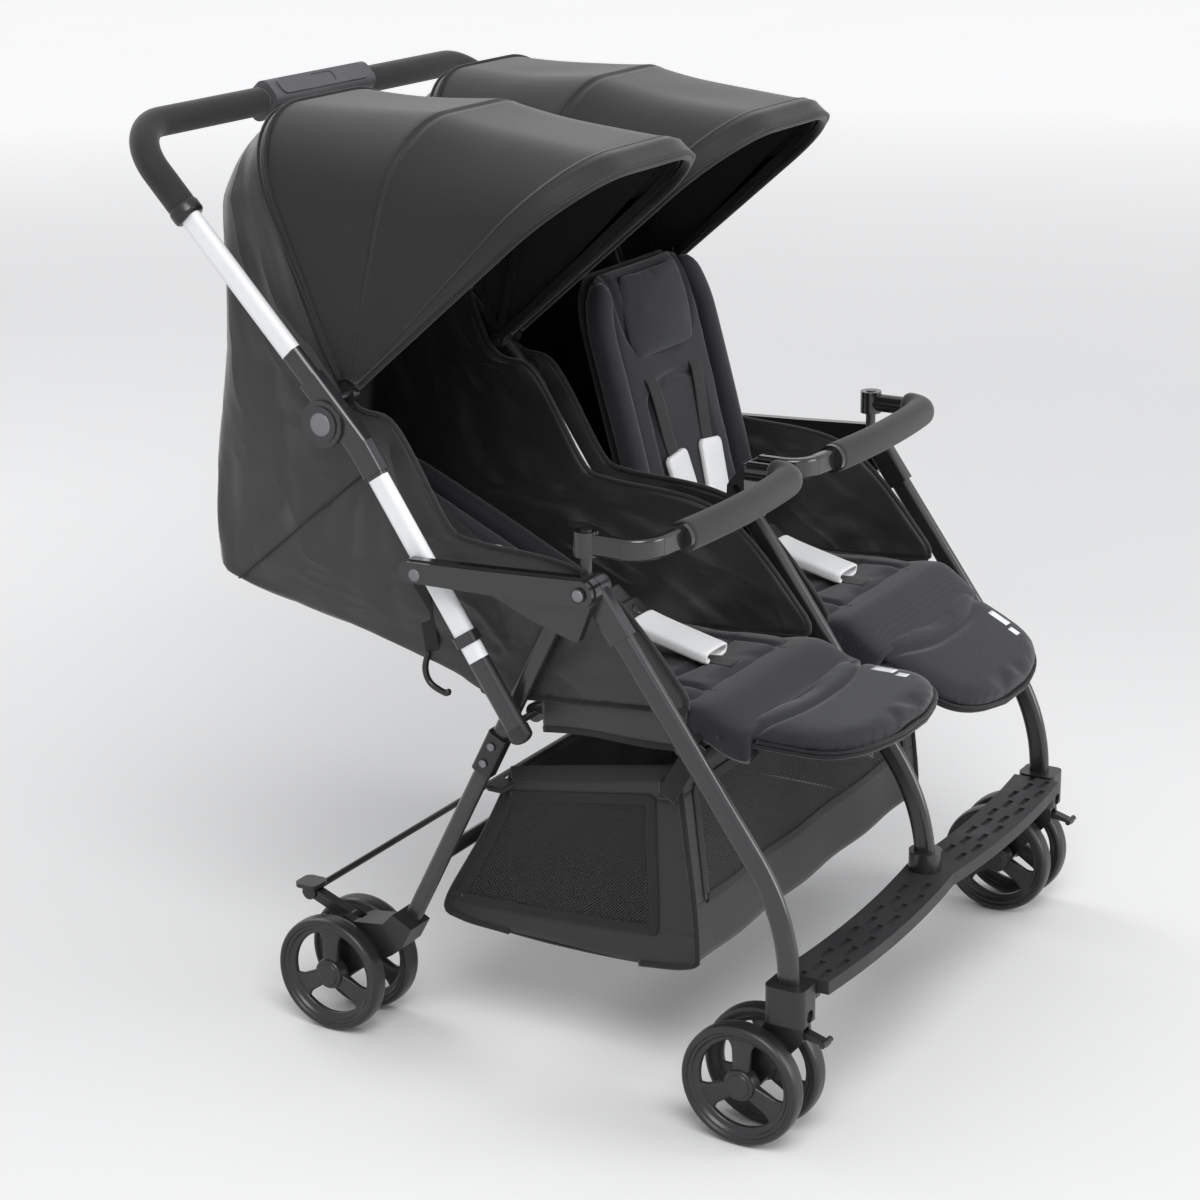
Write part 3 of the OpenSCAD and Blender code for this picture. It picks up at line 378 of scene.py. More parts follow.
def declare_sheet(grid, area=None):
    """Works out the flat size that a sheet's own lengths give: the longest row and column of the grid,
    and the sum of its cells as the area of the cut; the result is not kept."""
    least = 0.301
    g = np.asarray(grid, float) * MM
    wide = np.linalg.norm(np.diff(g, axis=1), axis=2).sum(1).max()
    long = np.linalg.norm(np.diff(g, axis=0), axis=2).sum(0).max()
    a, b = g[1:, 1:] - g[:-1, :-1], g[1:, :-1] - g[:-1, 1:]
    area = area or 0.5 * np.linalg.norm(np.cross(a, b), axis=2).sum()
    float(min(max(area, least * wide * long), wide * long))


def settle(obj, body, replaced=()):
    """Rides a piece on its body and hides the nodes that it stands for."""
    if body:
        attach(obj, body)
    if replaced:
        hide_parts(*replaced)
    return obj


def piece(name, patches, look, body, side=1, replaced=(), centre=None):
    """Makes a piece with a named finish and settles it; a piece without a body is left unattached."""
    return settle(make_piece(name, patches, finish(look), side, centre), body, replaced)


# Shader nodes

def fill(tree, node, values):
    """Sets a node's inputs by name or number: a socket is linked, anything else is its value."""
    for key, value in values.items():
        if isinstance(value, bpy.types.NodeSocket):
            tree.links.new(value, node.inputs[key])
        else:
            node.inputs[key].default_value = value


def add(tree, kind, values, output=0, **settings):
    """New shader node with settings and inputs; gives one of its outputs."""
    node = tree.nodes.new("ShaderNode" + kind)
    for key, value in settings.items():
        setattr(node, key, value)
    fill(tree, node, values)
    return node.outputs[output]


def math(tree, operation, a, b=0.0, clamp=False):
    """One operation on two values or sockets."""
    return add(tree, "Math", {0: a, 1: b}, operation=operation, use_clamp=clamp)


def above(tree, value, start, gain):
    """How far a value passes a start, times a gain, held between 0 and 1."""
    return math(tree, "MULTIPLY", math(tree, "SUBTRACT", value, start), gain, True)


def noise(tree, vector, scale, detail=3.0, rough=0.55):
    """Noise of a scale, from 0 to 1 and mostly about 0.5."""
    return add(tree, "TexNoise", {"Vector": vector, "Scale": scale, "Detail": detail, "Roughness": rough}, "Fac")


def mix(tree, factor, a, b):
    """Colour a where the factor is 0, b where it is 1."""
    return add(tree, "Mix", {0: factor, 6: a, 7: b}, 2, data_type="RGBA")


def remap(tree, value, low, high):
    """A value from 0 to 1 carried to the span from low to high, held at both ends."""
    return add(tree, "MapRange", {0: value, 3: low, 4: high})


def bump(tree, height, strength, distance):
    """Normal bent by a height, whose full step is a distance in metres."""
    return add(tree, "Bump", {"Strength": strength, "Distance": distance, "Height": height})


def components(tree, vector):
    """Sockets of a vector's three components."""
    return add(tree, "SeparateXYZ", {0: vector}).node.outputs


def node_group(name, inputs, outputs):
    """Empty shader group with a Vector, named float inputs and float outputs; gives its tree, its
    input sockets and its output node."""
    tree = bpy.data.node_groups.new(name, "ShaderNodeTree")
    tree.interface.new_socket("Vector", in_out="INPUT", socket_type="NodeSocketVector")
    for label, default in inputs.items():
        tree.interface.new_socket(label, in_out="INPUT", socket_type="NodeSocketFloat").default_value = default
    for label in outputs:
        tree.interface.new_socket(label, in_out="OUTPUT", socket_type="NodeSocketFloat")
    return tree, tree.nodes.new("NodeGroupInput").outputs, tree.nodes.new("NodeGroupOutput")


def woven_group():
    """Weave: product of sines along each pair of directions, one thread pitch apart, plus uneven
    yarn. Shade is 0 in the gaps and 1 on the threads; Height is the same with the yarn's waver."""
    tree, given, out = node_group("Woven threads", {"Pitch": 0.001}, ["Shade", "Height"])
    rate = math(tree, "DIVIDE", 2 * PI, given["Pitch"])
    x, y, z = (math(tree, "SINE", math(tree, "MULTIPLY", k, rate)) for k in components(tree, given["Vector"]))
    pairs = math(tree, "ADD", math(tree, "MULTIPLY", x, y), math(tree, "MULTIPLY", y, z))
    pairs = math(tree, "ADD", pairs, math(tree, "MULTIPLY", z, x))
    even = add(tree, "Math", {0: pairs, 1: 0.5, 2: 0.5}, operation="MULTIPLY_ADD")
    yarn = noise(tree, given["Vector"], 900.0, 2.0)
    fill(tree, out, {"Shade": math(tree, "MULTIPLY", even, yarn), "Height": math(tree, "ADD", even, yarn)})
    return tree


def worn_group():
    """Slow unevenness of a surface: wide patches and fine specks of noise, each about 0.5."""
    tree, given, out = node_group("Uneven wear", {"Patch": 9.0, "Speck": 260.0}, ["Patches", "Specks"])
    fill(tree, out, {"Patches": noise(tree, given["Vector"], given["Patch"], 4.0),
                     "Specks": noise(tree, given["Vector"], given["Speck"], 2.0)})
    return tree


def grain_group():
    """Moulded grain: rounded cells of a spark-eroded tool, with Height and a Polish mask where
    hands have rubbed it, from wide noise cut at its upper part."""
    tree, given, out = node_group("Moulded grain", {"Size": 900.0}, ["Height", "Polish"])
    cells = add(tree, "TexVoronoi", {"Vector": given["Vector"], "Scale": given["Size"]}, "Distance")
    fill(tree, out, {"Height": cells, "Polish": above(tree, noise(tree, given["Vector"], 14.0), 0.52, 5.0)})
    return tree


GROUPS = {}


def use_group(tree, maker, vector, **values):
    """Outputs of a node group, which is made at its first use."""
    if maker not in GROUPS:
        GROUPS[maker] = maker()
    node = tree.nodes.new("ShaderNodeGroup")
    node.node_tree = GROUPS[maker]
    fill(tree, node, {"Vector": vector, **values})
    return node.outputs


def new_finish(name, coords="Object"):
    """Material with a Principled shader and one coordinate output."""
    mat = bpy.data.materials.new(name)
    mat.use_nodes = True
    tree = mat.node_tree
    return mat, tree, tree.nodes["Principled BSDF"], add(tree, "TexCoord", {}, coords)


def tone(colour, factor):
    """Opaque colour with its components times a factor, at most 1."""
    return tuple(min(c * factor, 1.0) for c in colour[:3]) + (1.0,)


def shades(tree, factor, colour, low, high):
    """Mix between two tones of one colour."""
    return mix(tree, factor, tone(colour, low), tone(colour, high))


# Finishes

def cloth_finish(name, colour, coords="UV", pitch=0.0011, rough=0.82, sheen=0.25, relief=0.25, patch_size=7.0,
                 shine=0.35, crease=0.0):
    """Woven cloth: darker gaps between threads, wide faded patches, sheen on the nap, and creases of
    a given depth along the middle lines of a noise stretched upwards."""
    thread = 0.0004
    mat, tree, shader, where = new_finish(name, coords)
    weave = use_group(tree, woven_group, where, Pitch=pitch)
    patches = use_group(tree, worn_group, where, Patch=patch_size)["Patches"]
    base = shades(tree, weave["Shade"], colour, 0.72, 1.25)
    if crease:
        stretched = add(tree, "VectorMath", {0: where, 1: (1.0, 0.4, 1.0)}, operation="MULTIPLY")
        off = math(tree, "ABSOLUTE", math(tree, "SUBTRACT", noise(tree, stretched, 10.0, 1.8, 0.5), 0.5))
        line = math(tree, "SUBTRACT", 1.0, math(tree, "MULTIPLY", off, 6.0), True)
        folds = math(tree, "MULTIPLY", line, crease / (thread * relief))
        normal = bump(tree, math(tree, "ADD", weave["Height"], folds), 1.0, thread * relief)
    else:
        normal = bump(tree, weave["Height"], relief, thread)
    fill(tree, shader, {
        "Base Color": mix(tree, remap(tree, patches, 0.0, 0.55), base, tone(colour, 1.45)),
        "Roughness": remap(tree, patches, rough + 0.1, rough - 0.12),
        "Sheen Weight": sheen, "Sheen Roughness": 0.4, "Specular IOR Level": shine, "Normal": normal})
    return mat


def mesh_finish(name, colour, pitch=0.0042):
    """Open mesh cloth: round holes on a staggered grid of the cut's own UV, clear where sin times
    sin is high, with a woven rim."""
    mat, tree, shader, where = new_finish(name, "UV")
    holes = use_group(tree, woven_group, where, Pitch=pitch)
    fill(tree, shader, {
        "Base Color": shades(tree, holes["Shade"], colour, 1.5, 0.6),
        "Alpha": math(tree, "SUBTRACT", 1.0, above(tree, holes["Shade"], 0.3, 12.0)),
        "Roughness": 0.8, "Sheen Weight": 0.15, "Normal": bump(tree, holes["Height"], 0.3, 0.0006)})
    return mat


def moulded_finish(name, colour, rough=0.45, size=900.0, relief=0.12, coat=0.0):
    """Moulded plastic: fine tool grain, hand-polished patches, faint dust specks."""
    mat, tree, shader, where = new_finish(name)
    grain = use_group(tree, grain_group, where, Size=size)
    wear = use_group(tree, worn_group, where, Patch=11.0, Speck=420.0)
    base = shades(tree, remap(tree, wear["Patches"], 0.0, 1.0), colour, 0.86, 1.18)
    fill(tree, shader, {
        "Base Color": mix(tree, above(tree, wear["Specks"], 0.64, 2.2), base, tone(colour, 1.7)),
        "Roughness": remap(tree, grain["Polish"], rough, rough * 0.72),
        "Normal": bump(tree, grain["Height"], relief, 0.0003)})
    if coat:
        fill(tree, shader, {"Coat Weight": coat, "Coat Roughness": 0.12})
    return mat


def foam_finish(name, colour):
    """Closed-cell foam: small soft cells and a dull broad sheen."""
    mat, tree, shader, where = new_finish(name)
    grain = use_group(tree, grain_group, where, Size=620.0)
    wear = use_group(tree, worn_group, where, Patch=16.0, Speck=700.0)
    base = shades(tree, wear["Specks"], colour, 0.75, 1.2)
    fill(tree, shader, {
        "Base Color": mix(tree, remap(tree, grain["Polish"], 0.0, 0.35), base, tone(colour, 1.5)),
        "Roughness": remap(tree, wear["Patches"], 0.92, 0.72),
        "Sheen Weight": 0.2, "Normal": bump(tree, grain["Height"], 0.25, 0.0004)})
    return mat


def painted_finish(name, dark, pale=None, bands=()):
    """Powder-coated tube: orange-peel paint, with pale bands where the distance along a direction
    (dy, dz) past a side point lies between two lengths; later bands paint over earlier ones."""
    mat, tree, shader, where = new_finish(name)
    wear = use_group(tree, worn_group, where, Patch=8.0, Speck=340.0)
    base = shades(tree, wear["Patches"], dark, 0.85, 1.25)
    for origin, lean, low, high, is_pale in bands:
        d = ray(90 - lean)
        along = add(tree, "VectorMath", {0: where, 1: (0.0, d[0], d[1])}, "Value", operation="DOT_PRODUCT")
        start = float(d @ (np.array(origin) + [ORIGIN_Y, 0]))
        inside = math(tree, "MULTIPLY", math(tree, "GREATER_THAN", along, (start + low) * MM),
                      math(tree, "LESS_THAN", along, (start + high) * MM))
        base = mix(tree, inside, base, shades(tree, wear["Patches"], pale if is_pale else dark, 0.93, 1.04))
    fill(tree, shader, {
        "Base Color": base, "Roughness": remap(tree, wear["Patches"], 0.34, 0.24),
        "Coat Weight": 0.45, "Coat Roughness": 0.16, "Normal": bump(tree, wear["Specks"], 0.08, 0.0003)})
    return mat


def wheel_finish(name, axle, hub, tyre):
    """Wheel: tyre colour past the rim radius about the axle, moulded hub inside it, and fine
    moulding lines round the tread."""
    line_pitch = 0.0042
    mat, tree, shader, where = new_finish(name)
    grain = use_group(tree, grain_group, where, Size=800.0)
    patches = use_group(tree, worn_group, where, Patch=18.0, Speck=300.0)["Patches"]
    centre = (axle + [ORIGIN_Y, 0]) * MM
    dy, dz = (math(tree, "SUBTRACT", p, float(c)) for p, c in zip(components(tree, where)[1:], centre))
    reach = math(tree, "SQRT", math(tree, "ADD", math(tree, "MULTIPLY", dy, dy), math(tree, "MULTIPLY", dz, dz)))
    on_tyre = math(tree, "GREATER_THAN", reach, WHEEL_RADIUS * TYRE_SHARE * MM)
    rubber = shades(tree, above(tree, patches, 0.45, 1.4), tyre, 1.0, 1.7)
    inner = shades(tree, patches, hub, 0.85, 1.2)
    lines = math(tree, "SINE", math(tree, "MULTIPLY", reach, 2 * PI / line_pitch))
    lines = math(tree, "MULTIPLY", math(tree, "MULTIPLY", lines, on_tyre), 0.6)
    fill(tree, shader, {
        "Base Color": mix(tree, on_tyre, inner, rubber), "Roughness": remap(tree, on_tyre, 0.3, 0.38),
        "Normal": bump(tree, math(tree, "ADD", lines, grain["Height"]), 0.2, 0.0004)})
    return mat


FINISHES = {}
SLOTS = {
    **dict.fromkeys(("canopy_cloth", "shell_cloth", "basket_cloth", "basket_mesh", "binding", "webbing"),
                    "cloth_black"),
    **dict.fromkeys(("pad_cloth", "pad_dark", "thread"), "pad_slate"),
    **dict.fromkeys(("white_pad", "reflective"), "strap_white"),
    **dict.fromkeys(("foam", "grip_foam"), "foam_grey"),
    **dict.fromkeys(("front_wheel", "rear_wheel"), "wheel"),
    "black_plastic": "plastic_black", "steel": "plastic_grey",
}


def finish(name):
    """Named finish, made on first use from the colours in the panel."""
    if name not in FINISHES:
        c = bpy.context.scene.stroller_colours
        black, slate, white, grey = (tuple(x) for x in (c.cloth, c.pads, c.trim, c.frame))
        pad = {"coords": "Object", "pitch": 0.0013, "rough": 0.85, "sheen": 0.3, "patch_size": 6.0}
        wheel = tone(c.plastic, 1.5), tone(c.plastic, 1.1)
        pale_bands = [(ARM_REAR, LEAN_LOW, -112, 112, True), (ARM_REAR, LEAN_LOW, -93, -79.5, False),
                      (TUBE_BEND, LEAN_HIGH, 128, 900, True)]
        makers = {
            "canopy_cloth": lambda: cloth_finish("Canopy twill", black, rough=0.62, sheen=0.3, pitch=0.0012),
            "shell_cloth": lambda: cloth_finish("Hull cloth", tone(black, 1.1), rough=0.5, sheen=0.3, pitch=0.0014,
                                                shine=0.7, crease=0.006),
            "basket_cloth": lambda: cloth_finish("Basket cloth", tone(black, 1.5), rough=0.6, pitch=0.0018,
                                                 shine=0.5),
            "basket_mesh": lambda: mesh_finish("Basket mesh", tone(black, 0.7)),
            "binding": lambda: cloth_finish("Binding tape", tone(black, 1.3), rough=0.8, pitch=0.0016, relief=0.4),
            "pad_cloth": lambda: cloth_finish("Quilted pad cloth", slate, **pad),
            "pad_dark": lambda: cloth_finish("Dark pad cloth", tone(slate, 0.62), **pad),
            "webbing": lambda: cloth_finish("Strap webbing", tone(black, 1.2), pitch=0.0022, rough=0.75, relief=0.6),
            "white_pad": lambda: cloth_finish("White pad cloth", white, "Object", pitch=0.0012, rough=0.8, sheen=0.2,
                                              relief=0.2, patch_size=12.0),
            "thread": lambda: cloth_finish("Sewing thread", tone(slate, 1.9), "Object", pitch=0.0006, rough=0.7),
            "reflective": lambda: moulded_finish("Reflective print", tone(white, 0.95), rough=0.35, size=1500.0,
                                                 relief=0.1),
            "foam": lambda: foam_finish("Bumper foam", tuple(c.foam)),
            "grip_foam": lambda: foam_finish("Grip foam", black),
            "black_plastic": lambda: moulded_finish("Black plastic", c.plastic, rough=0.34),
            "gloss_plastic": lambda: moulded_finish("Gloss black plastic", tone(c.plastic, 0.75), rough=0.24,
                                                    size=500.0, relief=0.03, coat=0.6),
            "grey_plastic": lambda: moulded_finish("Grey plastic", c.console, rough=0.45, size=1100.0, relief=0.1),
            "tread_plastic": lambda: moulded_finish("Footplate plastic", tone(c.plastic, 1.6), rough=0.6, size=700.0,
                                                    relief=0.25),
            "steel": lambda: moulded_finish("Rivet steel", (0.16, 0.16, 0.17), rough=0.3, size=1600.0, relief=0.05),
            "frame_paint": lambda: painted_finish("Frame paint", grey),
            "push_paint": lambda: painted_finish("Two-tone paint", grey, white, pale_bands),
            "front_wheel": lambda: wheel_finish("Front wheel", FRONT_AXLE, *wheel),
            "rear_wheel": lambda: wheel_finish("Rear wheel", REAR_AXLE, *wheel),
        }
        FINISHES[name] = makers[name]()
    return FINISHES[name]


# Padded forms

def pillow(half_width, length, low, top, plan, ends=0.06):
    """Closed pad: superellipse sections carried along its length, half width times plan(v),
    between a low and a top face, drawn in at both ends like quarter circles."""
    rows, around, power, end_width = 44, 56, 0.42, 0.93
    v = np.linspace(0, 1, rows)
    close = rounded_ends(rows, ends)
    w = half_width * plan(v) * (end_width + (1 - end_width) * close)
    section = loop(1, 1, power, around)
    grid = np.empty((rows, around, 3))
    grid[..., 0] = w[:, None] * section[None, :, 0]
    grid[..., 1] = (v * length)[:, None]
    grid[..., 2] = (low + top) / 2 + (top - low) / 2 * close[:, None] * section[None, :, 1]
    return grid


def evaluated(obj):
    """New mesh of an object with its modifiers applied."""
    return bpy.data.meshes.new_from_object(obj.evaluated_get(bpy.context.evaluated_depsgraph_get()))


def coordinates(mesh):
    """Points of a mesh as rows, metres."""
    co = np.zeros(len(mesh.vertices) * 3, np.float32)
    mesh.vertices.foreach_get("co", co)
    return co.reshape(-1, 3).astype(float)


def inflated(grid, cap):
    """Cloth simulation of a closed pad: voxel remesh, frames of inner pressure with no gravity,
    each point's travel held to cap millimetres, then one subdivision. Gives the mesh, and its
    points in millimetres and normals in the pad's own frame."""
    pressure, voxel, frames, ease_passes = 4.0, 5.0, 20, 6
    v, quads, tris, _ = closed(grid)
    mesh = bpy.data.meshes.new("pad")
    mesh.from_pydata((v * MM).tolist(), [], quads.tolist() + tris.tolist())
    obj = bpy.data.objects.new("pad", mesh)
    scene = bpy.context.scene
    scene.collection.objects.link(obj)
    m = obj.modifiers.new("Remesh", "REMESH")
    m.mode, m.voxel_size = "VOXEL", voxel * MM
    baked = evaluated(obj)
    obj.modifiers.clear()
    obj.data = baked
    rest = coordinates(baked)
    c = obj.modifiers.new("Cloth", "CLOTH")
    c.settings.quality = 6
    c.settings.mass = 0.15
    c.settings.use_pressure = True
    c.settings.uniform_pressure_force = pressure
    c.settings.effector_weights.gravity = 0.0
    c.point_cache.frame_start, c.point_cache.frame_end = 1, frames
    for f in range(1, frames + 1):
        scene.frame_set(f)
    travel = coordinates(obj.evaluated_get(bpy.context.evaluated_depsgraph_get()).data) - rest
    reach = np.linalg.norm(travel, axis=1, keepdims=True)
    rest = rest + travel * np.minimum(1, cap * MM / np.maximum(reach, 1e-9))
    obj.modifiers.clear()
    scene.frame_set(1)
    baked.vertices.foreach_set("co", eased(baked, rest, ease_passes).astype(np.float32).ravel())
    s = obj.modifiers.new("Fine", "SUBSURF")
    s.levels = s.render_levels = 1
    done = evaluated(obj)
    bpy.data.objects.remove(obj)
    for old in (mesh, baked):
        bpy.data.meshes.remove(old)
    normal = np.zeros(len(done.vertices) * 3, np.float32)
    done.vertex_normals.foreach_get("vector", normal)
    return done, coordinates(done) * 1e3, normal.reshape(-1, 3).astype(float)


def eased(mesh, co, passes):
    """Eases small creases: each point moves to the mean of its neighbours along edges, in passes
    that shrink and then regrow the form."""
    shrink, regrow = 0.5, -0.52
    e = np.zeros(len(mesh.edges) * 2, np.int32)
    mesh.edges.foreach_get("vertices", e)
    a, b = e[::2], e[1::2]
    count = np.bincount(e, minlength=len(co))[:, None]
    for step in (shrink, regrow) * passes:
        total = np.zeros_like(co)
        np.add.at(total, a, co[b])
        np.add.at(total, b, co[a])
        co = co + step * (total / count - co)
    return co


def sewn(co, normal, seams, depth, width):
    """Presses seams into the upper face of a pad: each point sinks by a bell of its distance to
    the nearest seam line, less towards the sides."""
    up = np.clip(normal[:, 2], 0, 1)
    d = np.min([distance_to(co[:, :2], np.asarray(s, float)) for s in seams], axis=0)
    out = co.copy()
    out[:, 2] -= depth * ridge(d, width) * up
    return out


def surface_height(co, x, y):
    """Height of a pad's upper face under points: mean of its highest nearby points, by distance."""
    top = co[co[:, 2] > np.median(co[:, 2])]
    d = (x.reshape(-1, 1) - top[None, :, 0]) ** 2 + (y.reshape(-1, 1) - top[None, :, 1]) ** 2
    w = np.exp(-d / 18.0)
    return ((w * top[None, :, 2]).sum(1) / np.maximum(w.sum(1), 1e-9)).reshape(x.shape)


def tilted(p, origin, angle):
    """Points of a seat part's own frame (across, along, up) in the side frame: turned about an
    origin by an angle above level."""
    p = np.asarray(p, float)
    c, s = ray(angle)
    return np.stack([SEAT_X + p[..., 0], origin[0] + p[..., 1] * c - p[..., 2] * s,
                     origin[1] + p[..., 1] * s + p[..., 2] * c], -1)


def on_seat(p):
    """Seat pad frame to side frame: along the seat tubes from the front pivot."""
    return tilted(p, SEAT_FRONT + [4, 10.7], np.degrees(np.arctan2(*(SEAT_REAR - SEAT_FRONT)[::-1])))


def on_back(name):
    """Placing function of one side's backrest, about the back hinge."""
    return lambda p: tilted(p, BACK_HINGE, BACK_ANGLE[name])


def on_leg(name):
    """Placing function of one side's legrest: a half turn about the vertical, forwards from the
    leg hinge, dropped by its angle."""
    return lambda p: tilted(np.asarray(p, float) * [-1, -1, 1] - [0, 10, 12], LEG_HINGE, LEG_DROP[name])


def show_pad(name, mesh, points, side, body, replaced=()):
    """A copy of a pad's mesh at points in millimetres, settled on its body; a mirrored copy has its
    faces turned."""
    copy = mesh.copy()
    copy.name = name
    copy.materials.clear()
    v = placed(points * np.array([side, 1, 1]))
    copy.vertices.foreach_set("co", v.astype(np.float32).ravel())
    if side < 0:
        copy.flip_normals()
    return settle(show(name, copy, finish("pad_cloth")), body, replaced)


# Panel values

class StrollerColours(bpy.types.PropertyGroup):
    """Colours of the stroller's materials."""
    cloth: FloatVectorProperty(name="Cloth", description="Canopy, shell and basket cloth", subtype="COLOR",
                               default=(0.0095, 0.0095, 0.0102), min=0, max=1)
    pads: FloatVectorProperty(name="Pads", description="Quilted seat pads", subtype="COLOR",
                              default=(0.0165, 0.017, 0.020), min=0, max=1)
    trim: FloatVectorProperty(name="White trim", description="Strap pads and pale tube", subtype="COLOR",
                              default=(0.80, 0.81, 0.82), min=0, max=1)
    frame: FloatVectorProperty(name="Frame", description="Painted tubes", subtype="COLOR",
                               default=(0.017, 0.017, 0.0185), min=0, max=1)
    plastic: FloatVectorProperty(name="Plastic", description="Moulded joints and wheels", subtype="COLOR",
                                 default=(0.0135, 0.0135, 0.0145), min=0, max=1)
    console: FloatVectorProperty(name="Console", description="Middle of the handle", subtype="COLOR",
                                 default=(0.08, 0.08, 0.085), min=0, max=1)
    foam: FloatVectorProperty(name="Foam", description="Bumper bar pads", subtype="COLOR",
                              default=(0.0125, 0.0125, 0.0138), min=0, max=1)
    floor: FloatVectorProperty(name="Floor", description="Studio floor", subtype="COLOR",
                               default=(0.80, 0.80, 0.80), min=0, max=1)


class StrollerSizes(bpy.types.PropertyGroup):
    """Sizes of the sewn pieces."""
    canopy_fold: FloatProperty(name="Canopy slack", description="Sag of the canopy between bows", unit="LENGTH",
                               default=0.0035, min=0, max=0.009)
    binding: FloatProperty(name="Canopy binding", description="Radius of the canopy's front edge", unit="LENGTH",
                           default=0.0055, min=0.003, max=0.01)
    seam_depth: FloatProperty(name="Seam depth", description="How far seams sink into the pads", unit="LENGTH",
                              default=0.005, min=0, max=0.01)
    swell: FloatProperty(name="Pad swell", description="Most that a pad may swell", unit="LENGTH",
                         default=0.006, min=0, max=0.016)
    fold_keep: FloatProperty(name="Folded share", description="Share of a shell's depth left when folded",
                             subtype="FACTOR", default=0.35, min=0.1, max=1)


class Piece:
    """Shared options of the stroller's operators."""
    bl_options = {"REGISTER", "UNDO"}


# Frame finishes

FRAME_PLAN = {
    "push_paint": ["push_tube_left", "push_tube_right", "centre_push_tube"],
    "frame_paint": ["front_leg_left", "front_leg_right", "centre_front_leg", "seat_frames", "rear_leg_left",
                    "rear_leg_right", "rear_cross_tube", "canopy_rear_bows", "canopy_mid_bow_left",
                    "canopy_mid_bow_right", "canopy_front_bow_left", "canopy_front_bow_right"],
    "gloss_plastic": ["bumper_arms_left", "bumper_arms_right", "armrest_left", "armrest_right"],
    "black_plastic": ["caster_housings", "hinge_plates", "caster_fork_left", "caster_fork_right", "fold_trigger",
                      "swivel_lock_left", "swivel_lock_right", "rear_housings", "knee_brackets", "brake_bar"],
    "grey_plastic": ["handle_console"],
    "tread_plastic": ["footplate"],
}


class STROLLER_OT_frame(Piece, bpy.types.Operator):
    """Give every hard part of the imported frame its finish"""
    bl_idname = "stroller.frame"
    bl_label = "Finish the frame"

    def execute(self, context):
        for name, nodes in FRAME_PLAN.items():
            for n in nodes:
                frame["nodes"][n].data.materials.clear()
                frame["nodes"][n].data.materials.append(finish(name))
        return {"FINISHED"}


# Wheels: profiles as shares of radius and half width

WHEEL_RING = [(1.0, 0.0), (1.0, 0.36), (0.982, 0.78), (0.94, 0.99), (0.895, 0.93), (TYRE_SHARE, 0.70), (0.845, 0.74),
              (0.80, 0.44), (0.745, 0.30), (0.725, 0.16), (0.725, 0.0)]
WHEEL_HUB = [(0.004, 0.96), (0.165, 0.95), (0.19, 0.90), (0.197, 0.78), (0.225, 0.80), (0.250, 0.68), (0.262, 0.40),
             (0.262, -0.45), (0.20, -0.60), (0.004, -0.60)]
SPOKE_ANGLES = (90.0, 210.0, 330.0)


def wheel_patches(centre, out, radius, half):
    """Wheel about the x axis, its cap facing out. Tyre and dished rim are one closed profile, given
    as shares of the radius and half width, mirrored and spun; the hub is a stepped profile spun;
    three spokes are rounded bars that widen towards both the hub and the rim and thin outwards."""
    share = np.array([radius, half])
    side = smooth_path(WHEEL_RING, 36)
    ring = np.concatenate([side, side[-2:0:-1] * [1, -1]])
    axis = np.array([out, 0.0, 0.0])
    v = np.linspace(0, 1, 18)
    reach = radius * (0.2 + 0.56 * v)
    wide = radius * (0.135 + 0.05 * v + 0.12 * ramp(v, 0.6, 1.0) ** 2)
    deep = half * (0.50 - 0.27 * v)
    section = loop(1, 1, 0.5, 32)
    patches = [patch(turned(ring * share, centre, axis, 96), wrap_rows=True, wrap_columns=True),
               spun(smooth_path(WHEEL_HUB, 40) * share, centre, axis, 48)]
    for angle in SPOKE_ANGLES:
        along, across = np.array([[0, *ray(angle)], [0, *ray(angle + 90)]])
        patches.append(closed(centre + reach[:, None, None] * along
                              + (wide[:, None] * section[:, 0])[..., None] * across
                              + (deep[:, None] * section[:, 1])[..., None] * axis))
    return patches


class STROLLER_OT_wheels(Piece, bpy.types.Operator):
    """Mould the eight wheels: slim tyre, dished rim, three broad spokes and a hub cap"""
    bl_idname = "stroller.wheels"
    bl_label = "Mould the wheels"

    def execute(self, context):
        for end, name, place in ((e, s, k) for e in ("front", "rear") for s, _ in SIDES for k in ("outer", "inner")):
            node = f"{end}_wheel_{name}_{place}"
            low, high = np.array(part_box(node)) / MM
            centre, half = (low + high) / 2 - [0, ORIGIN_Y, 0], (high - low) / 2
            out = np.sign(centre[0]) * (1 if place == "outer" else -1)
            piece(f"{node}_moulded", wheel_patches(centre, out, half[2], half[0]), f"{end}_wheel", node,
                  replaced=[node])
        return {"FINISHED"}


# Canopies

def cloth_reach(angle, slack):
    """Reach of the canopy cloth at an angle: level over each bow, and between two bows the straight
    line from one to the other, drawn in at its middle by the slack."""
    over_bow = 1.4
    front = angle > BOW_MID[0]
    a0 = np.where(front, BOW_MID[0], BOW_REAR[0]) + over_bow
    a1 = np.where(front, BOW_FRONT[0], BOW_MID[0]) - over_bow
    r0, r1 = np.where(front, BOW_MID[1], BOW_REAR[1]), np.where(front, BOW_FRONT[1], BOW_MID[1])
    at = np.clip(angle, a0, a1)
    t = (at - a0) / (a1 - a0)
    line = r0 * r1 * np.sin(radians(a1 - a0)) / (r0 * np.sin(radians(at - a0)) + r1 * np.sin(radians(a1 - at)))
    return line - 4 * t * (1 - t) * slack


